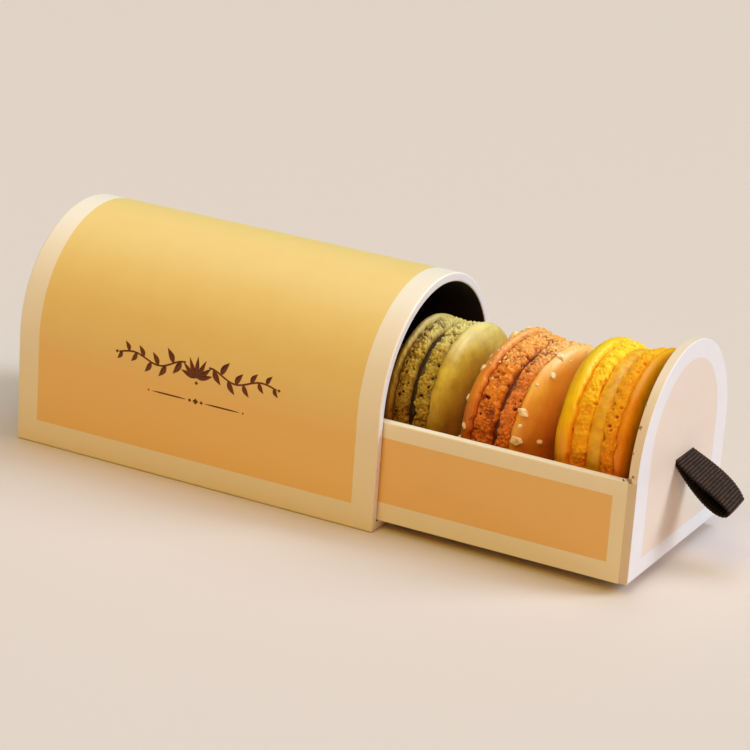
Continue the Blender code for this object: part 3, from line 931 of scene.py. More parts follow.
@dataclass
class Drawer:
    """The drawer: wrapped board floor, side walls and arched ends, black inside."""

    board: float
    spring_z: float
    field_half: float = 19.0 * MM
    field_base_z: float = 6.9 * MM
    field_top_z: float = 48.2 * MM
    wall_field_low_z: float = 7.0 * MM
    wall_field_high_z: float = 22.8 * MM
    wall_field_inset: float = 5.5 * MM
    turn_in: float = 0.9 * MM
    edge_round: float = 0.5 * MM
    seam_round: float = 0.06 * MM
    seam_overlap: float = 0.05 * MM
    solids_gap: float = 0.3 * MM
    field_margin: float = 1.0 * MM
    slit_clearance: float = 0.15 * MM
    slit_half_height: float = 0.75 * MM
    slit_below_top: float = 0.6 * MM

    def build(self, papers: dict[str, Material]) -> list[Object]:
        """Model the drawer's boards and dress them.

        Args:
            papers: The wrap papers by name.

        Returns:
            The boards' objects.
        """
        boards = [self.floor(papers)]
        boards += [self.wall(papers, name) for name in ("drawer_near_wall", "drawer_far_wall")]
        boards += [self.end(papers, "drawer_end_panel", 1.0),
                   self.end(papers, "drawer_back_panel", -1.0)]
        return boards

    def block(self, low: Vector, high: Vector) -> BMesh:
        """Make a box between two corners.

        Args:
            low: The corner with the lowest coordinates.
            high: The corner opposite.

        Returns:
            The box.
        """
        bm = bmesh.new()
        bmesh.ops.create_cube(bm, size=1.0)
        bmesh.ops.scale(bm, verts=bm.verts[:], vec=high - low)
        bmesh.ops.translate(bm, verts=bm.verts[:], vec=(high + low) / 2)
        return bm

    def floor(self, papers: dict[str, Material]) -> Object:
        """Model the floor board, lined black above and wrapped below.

        Args:
            papers: The wrap papers by name.

        Returns:
            The floor's object.
        """
        low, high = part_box("drawer_floor")
        # The solids stand a little apart where the real boards are glued together
        grow = Vector((self.solids_gap, self.solids_gap, 0.0))
        bm = self.block(low - grow, high + grow)
        for face in bm.faces:
            face.material_index = 1 if face.normal.z > 0.5 else 0
        round_edges(bm, bm.edges[:], self.seam_round, 2)
        piece = new_piece("drawer_floor_lined", bm, (papers["border"], papers["lining"]),
                          Body.DRAWER, ("drawer_floor",))
        flat_faces_stay_flat(piece)
        return piece

    def wall(self, papers: dict[str, Material], node: str) -> Object:
        """Model one side wall: its field of print, its turned-over top edge and its lining.

        Args:
            papers: The wrap papers by name.
            node: The solid that it replaces.

        Returns:
            The wall's object.
        """
        low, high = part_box(node)
        seam_low, seam_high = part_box("drawer_back_panel")[1].x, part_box("drawer_end_panel")[0].x
        low.x, high.x = seam_low - self.seam_overlap, seam_high + self.seam_overlap
        outward = math.copysign(1.0, low.y + high.y)
        bm = self.block(low, high)
        long_edges = [edge for edge in bm.edges if abs(edge.verts[0].co.x - edge.verts[1].co.x)
                      > self.board]
        top = [edge for edge in long_edges if edge.verts[0].co.z > self.spring_z - NEAR]
        bottom = [edge for edge in long_edges if edge not in top]
        round_edges(bm, bottom, self.seam_round, 2)
        round_edges(bm, [edge for edge in top if edge.is_valid], self.edge_round, 4)
        ends = [edge for edge in bm.edges if edge.calc_face_angle(0.0) > math.radians(60)]
        round_edges(bm, ends, self.seam_round, 2)
        # The field's far end lies as deep in the drawer as its near end lies from the corner
        field_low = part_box("drawer_back_panel")[0].x + self.wall_field_inset
        field_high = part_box("drawer_end_panel")[1].x - self.wall_field_inset
        for x in (field_low, field_high):
            cut(bm, (x, 0.0, 0.0), AXIS_X)
        lining_z = high.z - self.turn_in
        for z in (self.wall_field_low_z, self.wall_field_high_z, lining_z):
            cut(bm, (0.0, 0.0, z), AXIS_Z)
        for face in bm.faces:
            centre = face.calc_center_median()
            facing = face.normal.y * outward
            along = field_low < centre.x < field_high
            up = self.wall_field_low_z < centre.z < self.wall_field_high_z
            if facing > 0.9 and along and up:
                face.material_index = 1
            elif facing < -0.9 and centre.z < lining_z:
                face.material_index = 2
            else:
                face.material_index = 0
        # Painted shade: the wall's field takes the deeper copy of the peach-gold paper
        materials = (papers["border"], papers["drawer_field_painted_shade"], papers["lining"])
        piece = new_piece(node + "_wrapped", bm, materials, Body.DRAWER, (node,))
        flat_faces_stay_flat(piece)
        return piece

    def end(self, papers: dict[str, Material], node: str, facing: float) -> Object:
        """Model one arched end: a panel whose field is paler, as painted light, lined black on its
        inner face.

        Args:
            papers: The wrap papers by name.
            node: The solid that it replaces.
            facing: 1 if its printed face looks along +X, -1 if along -X.

        Returns:
            The panel's object.
        """
        low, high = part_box(node)
        outer_x, inner_x = (high.x, low.x) if facing > 0 else (low.x, high.x)
        arch = Arch(high.y, low.z, self.spring_z)
        bm = bmesh.new()
        outline = arch.wire(bm, inner_x)
        back = bmesh.ops.contextual_create(bm, geom=outline)["faces"]
        pushed = bmesh.ops.extrude_face_region(bm, geom=back, use_keep_orig=True)
        moved = [item for item in pushed["geom"] if isinstance(item, BMVert)]
        bmesh.ops.translate(bm, verts=moved, vec=(outer_x - inner_x, 0.0, 0.0))
        bmesh.ops.recalc_face_normals(bm, faces=bm.faces[:])
        feet = [edge for edge in bm.edges
                if all(vert.co.z < low.z + TOUCH and abs(vert.co.y) > high.y - TOUCH
                       for vert in edge.verts)]
        round_edges(bm, feet, self.edge_round, 4)
        self.round_rim(bm, outer_x, self.edge_round, 4)
        self.round_rim(bm, inner_x, self.seam_round, 2)
        field = self.print_field(bm, arch, facing)
        for face in bm.faces:
            if face == field:
                face.material_index = 1
            elif face.normal.x * facing < -0.9:
                face.material_index = 2
            elif face.normal.x * facing > 0.5:
                face.material_index = 0
            elif face.calc_center_median().z > self.spring_z:
                face.material_index = 3
            else:
                # Painted shade: below the spring line the panel's narrow side takes the darker side
                # paper
                face.material_index = 4
        # Painted light: the field takes the paler copy of the peach paper
        materials = (papers["white"], papers["panel_field_painted_light"], papers["lining"],
                     papers["worn_edge"], papers["side"])
        piece = new_piece(node + "_wrapped", bm, materials, Body.DRAWER, (node,))
        if facing > 0:
            self.cut_slit(piece)
        flat_faces_stay_flat(piece)
        return piece

    def round_rim(self, bm: BMesh, x: float, width: float, segments: int) -> None:
        """Round the rim of one face of a panel.

        Args:
            bm: The panel.
            x: Where the face lies.
            width: How far from the rim the rounding starts.
            segments: How many strips it has.
        """
        rim = [edge for edge in bm.edges
               if all(abs(vert.co.x - x) < TOUCH for vert in edge.verts)]
        round_edges(bm, rim, width, segments)

    def print_field(self, bm: BMesh, arch: Arch, facing: float) -> BMFace:
        """Mark out the printed field on a panel's outer face.

        Args:
            bm: The panel.
            arch: The panel's outline.
            facing: Which way the printed face looks along X.

        Returns:
            The field's face.
        """
        outer = max(bm.faces, key=lambda face: face.normal.x * facing * face.calc_area())
        bmesh.ops.inset_region(bm, faces=[outer], thickness=self.field_margin,
                               use_even_offset=True)
        field = Arch(self.field_half, self.field_base_z, self.field_top_z - self.field_half)
        inset = self.edge_round + self.field_margin
        inset_arch = Arch(arch.half_width - inset, arch.base_z + inset, arch.spring_z)
        for vert in outer.verts:
            vert.co = inset_arch.shrunk_onto(field, vert.co)
        return outer

    def cut_slit(self, piece: Object) -> None:
        """Cut the slit that the ribbon comes out of, as wide as the ribbon and a little more.

        Args:
            piece: The end panel's object.
        """
        low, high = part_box("pull_ribbon")
        half = Vector((3 * self.board, (high.y - low.y) / 2 + self.slit_clearance,
                       self.slit_half_height))
        centre = Vector((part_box("drawer_end_panel")[0].x, (low.y + high.y) / 2,
                         high.z - self.slit_below_top))
        bm = self.block(centre - half, centre + half)
        mesh = bpy.data.meshes.new("slit_cutter")
        bm.to_mesh(mesh)
        bm.free()
        cutter = bpy.data.objects.new("slit_cutter", mesh)
        bpy.context.scene.collection.objects.link(cutter)
        slit = piece.modifiers.new("slit", "BOOLEAN")
        slit.operation = "DIFFERENCE"
        slit.solver = "EXACT"
        slit.object = cutter
        bpy.context.view_layer.update()
        made = piece.evaluated_get(bpy.context.evaluated_depsgraph_get())
        piece.data = bpy.data.meshes.new_from_object(made)
        piece.modifiers.clear()
        bpy.data.objects.remove(cutter, do_unlink=True)


@dataclass(frozen=True)
class Fray:
    """One spot where the wrap is torn: its place along X, its height and its size."""

    x: float
    z: float
    size: float


@dataclass
class Frays:
    """Small dark tears in the wrap where the near wall runs into the end panel's rim.

    Each spot is a few shreds, and each shred is the hull of random corners, pressed flat
    along the wrap by flatness.
    """

    half_width: float
    spring_z: float
    seed: int = 5
    shreds: int = 4
    corners: int = 9
    spread: float = 0.4
    shred_size: float = 0.65
    flatness: float = 0.93
    stand: float = 0.06 * MM
    spots: tuple[Fray, ...] = (
        Fray(110.4 * MM, 27.1 * MM, 1.1 * MM), Fray(111.0 * MM, 28.2 * MM, 0.7 * MM),
        Fray(110.2 * MM, 33.2 * MM, 0.5 * MM), Fray(110.5 * MM, 38.7 * MM, 0.85 * MM),
        Fray(110.1 * MM, 43.0 * MM, 0.45 * MM), Fray(109.0 * MM, 27.0 * MM, 0.5 * MM),
    )

    def build(self, material: Material) -> Object:
        """Model the tears and dress them.

        Args:
            material: The bared board.

        Returns:
            The tears' object.
        """
        bm = bmesh.new()
        draw = random.Random(self.seed)
        for spot in self.spots:
            rise = max(spot.z - self.spring_z, 0.0)
            angle = math.asin(min(rise / self.half_width, 1.0))
            out = Vector((0.0, -math.cos(angle), math.sin(angle)))
            middle = Vector((spot.x, 0.0, min(spot.z, self.spring_z)))
            middle += out * (self.half_width + self.stand)
            for _ in range(self.shreds):
                start = middle + self.scattered(draw, out, self.spread * spot.size)
                reach = self.shred_size * spot.size
                verts = [bm.verts.new(start + self.scattered(draw, out, reach))
                         for _ in range(self.corners)]
                bmesh.ops.convex_hull(bm, input=verts)
        loose = [vert for vert in bm.verts if not vert.link_faces]
        bmesh.ops.delete(bm, geom=loose, context="VERTS")
        bmesh.ops.recalc_face_normals(bm, faces=bm.faces[:])
        return new_piece("torn_wrap_spots", bm, (material,), Body.DRAWER)

    def scattered(self, draw: random.Random, out: Vector, reach: float) -> Vector:
        """Draw a step that mostly runs along the wrap, to which out stands square."""
        way = random_way(draw)
        way -= out * way.dot(out) * self.flatness
        return way * reach * draw.uniform(0.3, 1.1)


@dataclass(frozen=True)
class LoopEdge:
    """One edge of the ribbon's loop, as shares of the loop's reach and drop from its neck.

    The curve runs from the neck over the top to the tip, and back underneath.
    """

    over: tuple[tuple[float, float], tuple[float, float]]
    tip: tuple[float, float]
    under: tuple[tuple[float, float], tuple[float, float]]


@dataclass
class PullRibbon:
    """The pull: a short loop of grosgrain ribbon whose near edge droops more than its far one.

    Its ribs are half waves, the broader the lower rib_fullness is. They cross the ribbon's
    smooth surface at the share rib_middle of their height.
    """

    thickness: float = 0.5 * MM
    board: float = 2.2 * MM
    reach: float = 13.8 * MM
    drop: float = 9.8 * MM
    neck_below_top: float = 0.6 * MM
    half_gap: float = 0.3 * MM
    end_inset: float = 0.3 * MM
    crown: float = 0.12 * MM
    rib_pitch: float = 0.8 * MM
    rib_height: float = 0.28 * MM
    rib_fullness: float = 0.7
    rib_middle: float = 0.6
    rows_per_rib: int = 10
    columns: int = 14
    curve_points: int = 240
    near: LoopEdge = LoopEdge(((0.33, -0.37), (0.98, -0.71)), (1.00, -0.92),
                              ((0.93, -1.14), (0.54, -0.97)))
    far: LoopEdge = LoopEdge(((0.40, -0.22), (0.80, -0.46)), (0.96, -0.90),
                             ((0.91, -1.08), (0.50, -0.85)))

    def edge_line(self, edge: LoopEdge, y: float) -> list[Vector]:
        """Closely spaced points along one edge, from inside the panel round and back inside.

        Args:
            edge: The edge's curve.
            y: Its place across the box.

        Returns:
            The points.
        """
        neck = Vector((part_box("drawer_end_panel")[1].x, y,
                       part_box("pull_ribbon")[1].z - self.neck_below_top))

        def at(share: tuple[float, float]) -> Vector:
            """Place of a point given in shares."""
            return neck + Vector((share[0] * self.reach, 0.0, share[1] * self.drop))

        gap = Vector((0.0, 0.0, self.half_gap))
        inside = Vector((self.end_inset - self.board, 0.0, 0.0))
        over = geometry.interpolate_bezier(neck + gap, *map(at, edge.over), at(edge.tip),
                                           self.curve_points)
        under = geometry.interpolate_bezier(at(edge.tip), *map(at, edge.under), neck - gap,
                                            self.curve_points)
        return [over[0] + inside, *over, *under, under[-1] + inside]

    def build(self, material: Material) -> Object:
        """Model the ribbon and dress it.

        Args:
            material: The woven ribbon.

        Returns:
            The ribbon's object.
        """
        low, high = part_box("pull_ribbon")
        near = self.edge_line(self.near, low.y)
        length = sum((second - first).length for first, second in zip(near, near[1:]))
        rows = round(length / self.rib_pitch) * self.rows_per_rib
        near = evenly_spaced(near, rows)
        far = evenly_spaced(self.edge_line(self.far, high.y), rows)
        bm = bmesh.new()
        crest_layer = bm.verts.layers.float.new("crest")
        grid = bmesh.ops.create_grid(bm, x_segments=rows, y_segments=self.columns, size=0.5)
        for vert in grid["verts"]:
            row = round((vert.co.x + 0.5) * rows)
            across = vert.co.y + 0.5
            before, after = max(row - 1, 0), min(row + 1, rows)
            along = near[after].lerp(far[after], across) - near[before].lerp(far[before], across)
            up = along.cross(far[row] - near[row]).normalized()
            crest = abs(math.sin(math.pi * row / self.rows_per_rib)) ** self.rib_fullness
            lift = self.rib_height * (crest - self.rib_middle)
            lift += self.crown * 4.0 * across * (1.0 - across)
            vert.co = near[row].lerp(far[row], across) + up * lift
            vert[crest_layer] = crest
        piece = new_piece("pull_ribbon_woven", bm, (material,), Body.DRAWER,
                          ("pull_ribbon",))
        cloth = piece.modifiers.new("cloth", "SOLIDIFY")
        cloth.thickness = self.thickness
        cloth.offset = 0.0
        return piece


def evenly_spaced(points: Sequence[Vector], steps: int) -> list[Vector]:
    """Space points evenly along the line through them.

    Args:
        points: The line's points.
        steps: How many equal steps to take along it.

    Returns:
        One more point than there are steps.
    """
    lengths = [0.0]
    for first, second in zip(points, points[1:]):
        lengths.append(lengths[-1] + (second - first).length)
    spaced = []
    place = 0
    for step in range(steps + 1):
        goal = lengths[-1] * step / steps
        while place < len(points) - 2 and lengths[place + 1] < goal:
            place += 1
        span = max(lengths[place + 1] - lengths[place], 1e-9)
        share = min(max((goal - lengths[place]) / span, 0.0), 1.0)
        spaced.append(points[place].lerp(points[place + 1], share))
    return spaced


@dataclass(frozen=True)
class Shell:
    """One shell: the height of its crumbly foot and of the smooth dome on it."""

    foot: float
    dome: float


@dataclass(frozen=True)
class Pit:
    """One open hole in a foot: where it is round the shell and up the foot, and how wide."""

    around_deg: float
    share: float
    radius_mm: float


@dataclass
class Macaron:
    """One macaron on edge: its sizes, its lean and its finishes.

    Its feet reach foot_reach of its radius, and foot_bulge more half way up. The domes are
    half sections with the exponent dome_power, where 2 is an ellipse, and they overhang the
    feet by skirt_step. A roughness below 1 makes the feet's crumb smoother.
    """

    name: str
    radius: float
    filling_radius: float
    filling_thickness: float
    back: Shell
    front: Shell
    dome_power: float
    lean_deg: float
    yaw_deg: float
    seed: int
    shell_slot: str
    filling_slot: str
    roughness: float = 1.0
    lip: float = 0.7 * MM
    groove: float = 0.45 * MM
    foot_reach: float = 0.955
    foot_bulge: float = 0.025
    skirt_step: float = 0.042
    skirt_rows: int = 5
    rim_crowding: float = 1.15
    filling_grip: float = 0.05 * MM
    filling_rows: int = 14
    filling_around: int = 360
    around: int = 640
    foot_rows: int = 30
    dome_rows: int = 34
    pits: dict[Side, tuple[Pit, ...]] = field(default_factory=dict)

    def centre(self) -> Vector:
        """Middle of the macaron, from the filling's solid."""
        low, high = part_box(self.name + "_filling")
        return (low + high) / 2

    def stand(self, side: Side | None) -> Matrix:
        """Turn from a piece's own frame, with its axis along X, to its place in the drawer.

        Args:
            side: The shell's side, or None for the filling.

        Returns:
            The matrix.
        """
        lean = Matrix.Rotation(math.radians(self.lean_deg), 4, "Y")
        yaw = Matrix.Rotation(math.radians(self.yaw_deg), 4, "Z")
        out = Matrix.Identity(4)
        if side is not None:
            turn = Matrix.Rotation(0.0 if side is Side.FRONT else math.pi, 4, "Z")
            out = Matrix.Translation((side.value * self.filling_thickness / 2, 0.0, 0.0)) @ turn
        return Matrix.Translation(self.centre()) @ yaw @ lean @ out

    def shell(self, side: Side) -> Shell:
        """The sizes of one shell."""
        return self.back if side is Side.BACK else self.front

    def dome_point(self, shell: Shell, angle: float) -> tuple[float, float]:
        """Point of the dome's half section.

        Args:
            shell: The shell.
            angle: 0 at its rim, a quarter turn at its top.

        Returns:
            How far along the axis and how far out it lies.
        """
        power = 2.0 / self.dome_power
        rise = (shell.dome - self.lip) * math.sin(angle) ** power
        return shell.foot + self.lip + rise, self.radius * max(math.cos(angle), 0.0) ** power

    def profile(self, shell: Shell) -> list[tuple[float, float]]:
        """Half section of a shell, from the middle of its flat face to the top of its dome.

        Args:
            shell: The shell.

        Returns:
            Points as (along the axis, out from it).
        """
        points = [(0.0, 0.0), (0.0, 0.6 * self.radius), (0.0, 0.9 * self.radius)]
        for row in range(1, self.foot_rows):
            share = row / self.foot_rows
            bulge = self.foot_reach + self.foot_bulge * math.sin(math.pi * share)
            groove = self.groove * eased((share - 0.84) / 0.14)
            points.append((shell.foot * share, self.radius * bulge - groove))
        # The dome's skirt overhangs the foot in a small rounded step
        rise = self.skirt_step * self.radius + self.groove
        for row in range(self.skirt_rows + 1):
            turn = 0.5 * math.pi * row / self.skirt_rows
            points.append((shell.foot + self.lip * (1.0 - math.cos(turn)) * 0.9,
                           self.radius - rise * (1.0 - math.sin(turn))))
        for row in range(1, self.dome_rows + 1):
            share = row / self.dome_rows
            points.append(self.dome_point(shell, 0.5 * math.pi * share ** self.rim_crowding))
        points[-1] = (points[-1][0], 0.0)
        return points

    def build_shell(self, side: Side, material: Material) -> Object:
        """Model one shell and dress it.

        Args:
            side: Which shell.
            material: Its meringue.

        Returns:
            The shell's object.
        """
        shell = self.shell(side)
        bm = spun(self.profile(shell), self.around)
        relief = Relief(self, shell, side, self.seed + side.value)
        relief.apply(bm)
        bmesh.ops.transform(bm, matrix=self.stand(side), verts=bm.verts[:])
        word = side.name.lower()
        return new_piece(f"{self.name}_{word}_meringue", bm, (material,), Body.DRAWER,
                         (f"{self.name}_{word}_shell",))

    def build_filling(self, material: Material) -> Object:
        """Model the filling: a disc whose squeezed rim bulges unevenly.

        Args:
            material: The filling's paste.

        Returns:
            The filling's object.
        """
        half = self.filling_thickness / 2 + self.filling_grip
        points = [(-half, 0.0), (-half, 0.8 * self.filling_radius)]
        for row in range(self.filling_rows + 1):
            share = row / self.filling_rows
            bulge = 0.97 + 0.03 * math.sin(math.pi * share) ** 0.6
            points.append((-half + 2 * half * share, bulge * self.filling_radius))
        points += [(half, 0.8 * self.filling_radius), (half, 0.0)]
        bm = spun(points, self.filling_around)
        for vert in bm.verts:
            radial = Vector((0.0, vert.co.y, vert.co.z))
            if radial.length < 0.9 * self.filling_radius:
                continue
            place = vert.co / MM + Vector((17.0 * self.seed, 0.0, 0.0))
            push = 0.28 * noise.noise(place / 4.5) + 0.10 * noise.noise(place / 1.3)
            vert.co += radial.normalized() * push * MM
        bmesh.ops.transform(bm, matrix=self.stand(None), verts=bm.verts[:])
        return new_piece(f"{self.name}_filling_paste", bm, (material,), Body.DRAWER,
                         (f"{self.name}_filling",))


def spun(profile: Sequence[tuple[float, float]], steps: int) -> BMesh:
    """Turn a half section round the X axis into a closed bmesh: a grid rolled up and welded.

    Args:
        profile: Points as (along the axis, out from it), from axis to axis.
        steps: How many there are round it.

    Returns:
        The turned shape, its faces pointing out.
    """
    bm = bmesh.new()
    rows = len(profile) - 1
    grid = bmesh.ops.create_grid(bm, x_segments=steps, y_segments=rows, size=0.5)
    for vert in grid["verts"]:
        turn = 2.0 * math.pi * round((vert.co.x + 0.5) * steps) / steps
        axial, radial = profile[round((vert.co.y + 0.5) * rows)]
        vert.co = (axial, radial * math.sin(turn), radial * math.cos(turn))
    bmesh.ops.remove_doubles(bm, verts=bm.verts[:], dist=0.002 * MM)
    bmesh.ops.recalc_face_normals(bm, faces=bm.faces[:])
    bm.normal_update()
    return bm


def eased(value: float) -> float:
    """Ease a share from 0 to 1, flat at both ends."""
    held = min(max(value, 0.0), 1.0)
    return held * held * (3.0 - 2.0 * held)


@dataclass
class Relief:
    """The unevenness of one baked shell: a ruffled, holed foot under a faintly dimpled skin.

    The foot is batter that boiled out from under the skin, so it is frilled from dome to
    filling, lumpy, and open where its bubbles burst. All its sizes and pushes are in
    millimetres, and each push is how far that kind of unevenness moves the surface.
    """

    macaron: Macaron
    shell: Shell
    side: Side
    seed: int
    warp_seed: int = 11
    frill_mm: float = 1.7
    frill_length_mm: float = 4.5
    lump_mm: float = 2.6
    bubble_mm: float = 1.25
    grain_mm: float = 0.5
    granule_mm: float = 1.0
    hole_mm: float = 1.9
    swell_mm: float = 7.0
    dimple_mm: float = 1.4
    frill_push: float = 0.36
    lump_push: float = 0.32
    bubble_push: float = 0.16
    grain_push: float = 0.10
    granule_push: float = 0.42
    hole_push: float = 0.85
    swell_push: float = 0.16
    dimple_push: float = 0.02
    sunk: float = 0.20
    lip_wander_mm: float = 0.42
    face_wander_mm: float = 0.75

    def apply(self, bm: BMesh) -> None:
        """Push the shell's points in and out, and note its crumb and holes on them.

        Args:
            bm: The turned shell, in its own frame.
        """
        # Vector noise takes its offsets from the clock unless it is given a seed
        noise.seed_set(self.warp_seed)
        crumb_layer = bm.verts.layers.float.new("crumb")
        # Painted shade: the pit layer says how dark the meringue paints the foot's hollows, holes and
        # groove
        hollow_shade_layer = bm.verts.layers.float.new("pit")
        shift = Vector((0.0, 0.0, 37.0 * self.seed))
        foot_mm = self.shell.foot / MM
        face_edge = 0.93 * self.macaron.radius / MM
        for vert in bm.verts:
            place = vert.co / MM
            reach = math.hypot(place.y, place.z)
            if place.x <= 0.0 and reach < face_edge - 1.5:
                vert[crumb_layer] = 1.0
                continue
            if reach < 0.02:
                continue
            out = Vector((0.0, place.y / reach, place.z / reach))
            sample = place + shift
            share = place.x / foot_mm
            if share <= 1.0:
                push, pit = self.foot_push(sample, share, out)
                moved = place + out * push
                crumb = 1.0
            else:
                moved = place + vert.normal * self.skin_push(sample)
                crumb, pit = 1.0 - eased((place.x - foot_mm) / 0.25), 0.0
            ring = out * (self.macaron.radius / MM) + shift
            slow = noise.noise(ring / 2.3)
            quick = noise.noise(ring / 0.9 + Vector((2.0, 6.0, 0.0)))
            near_lip = 1.0 - eased(abs(place.x - foot_mm) / 2.0)
            near_face = 1.0 - eased(place.x / (0.55 * foot_mm))
            moved.x += near_lip * self.lip_wander_mm * (slow + 0.35 * quick)
            moved.x += near_face * self.face_wander(ring) * eased((reach - 8.0) / 6.0)
            vert.co = moved * MM
            vert[crumb_layer] = crumb
            vert[hollow_shade_layer] = pit

    def face_wander(self, ring: Vector) -> float:
        """How far the foot's edge by the filling wanders along the axis, in millimetres."""
        slow = noise.noise(ring / 3.4 + Vector((9.0, 0.0, 0.0)))
        quick = noise.noise(ring / 1.1 + Vector((4.0, 0.0, 0.0)))
        return self.face_wander_mm * (slow + 0.45 * quick)

    def foot_push(self, sample: Vector, share: float, out: Vector) -> tuple[float, float]:
        """How far a point of the foot stands out, and how deep in a hollow it lies.

        Args:
            sample: The point, in millimetres, moved on by the shell's seed.
            share: Its share of the way up the foot.
            out: Its direction out from the axis.

        Returns:
            The push in millimetres, and the hollow's depth from 0 to 1, which is painted as shade.
        """
        bent = sample + 0.5 * noise.noise_vector(sample / 1.8)
        frilled = Vector((bent.x / self.frill_length_mm, bent.y / self.frill_mm,
                          bent.z / self.frill_mm))
        frill = noise.noise(frilled)
        lump = noise.noise(bent / self.lump_mm + Vector((3.0, 8.0, 5.0)))
        bubble = 1.0 - 2.4 * abs(noise.noise(bent / self.bubble_mm))
        grain = 1.0 - 2.4 * abs(noise.noise(bent / self.grain_mm))
        gaps, _ = noise.voronoi(bent / self.granule_mm)
        granule = eased((gaps[1] - gaps[0]) / 0.5)
        far, homes = noise.voronoi(bent / self.hole_mm + Vector((5.0, 3.0, 1.0)))
        chance = abs(noise.cell(homes[0] * 9.0))
        width = 0.10 + 0.20 * chance
        hole = eased((width - far[0]) / 0.10) if chance > 0.25 else 0.0
        hole = max(hole, self.set_hole(share, out))
        rough = self.macaron.roughness
        height = self.frill_push * frill + self.lump_push * lump
        height += rough * (self.bubble_push * bubble + self.grain_push * grain
                           + self.granule_push * (granule - 0.6))
        hollow = eased((0.16 - height) / 0.62) * rough
        held = eased(min(share + 0.05, 1.0 - share) / 0.12)
        push = (height - self.sunk - self.hole_push * hole) * (0.3 + 0.7 * held)
        # Painted shade: the groove under the dome's skirt is painted dark as well
        shade_under_skirt = 0.7 * eased((share - 0.88) / 0.10)
        return push, max(0.8 * hollow, hole, shade_under_skirt)

    def set_hole(self, share: float, out: Vector) -> float:
        """How deep a point lies in the holes that are listed one by one.

        Args:
            share: Its share of the way up the foot.
            out: Its direction out from the axis.

        Returns:
            The depth, from 0 to 1.
        """
        deepest = 0.0
        for pit in self.macaron.pits.get(self.side, ()):
            angle = math.radians(pit.around_deg)
            turn = math.atan2(out.z, out.y) - angle
            turn = (turn + math.pi) % (2.0 * math.pi) - math.pi
            along = (share - pit.share) * self.shell.foot / MM
            distance = math.hypot(turn * self.macaron.radius / MM, along)
            deepest = max(deepest, eased((pit.radius_mm - distance) / (0.6 * pit.radius_mm)))
        return deepest

    def skin_push(self, sample: Vector) -> float:
        """How far a point of the dome's skin stands out, in millimetres."""
        swell = self.swell_push * noise.noise(sample / self.swell_mm)
        dimple = self.dimple_push * noise.noise(sample / self.dimple_mm)
        return swell + dimple


@dataclass(frozen=True)
class Chip:
    """One chip of nut: where it lies on a dome and how big it is."""

    side: Side
    around_deg: float
    rise_deg: float
    size: float


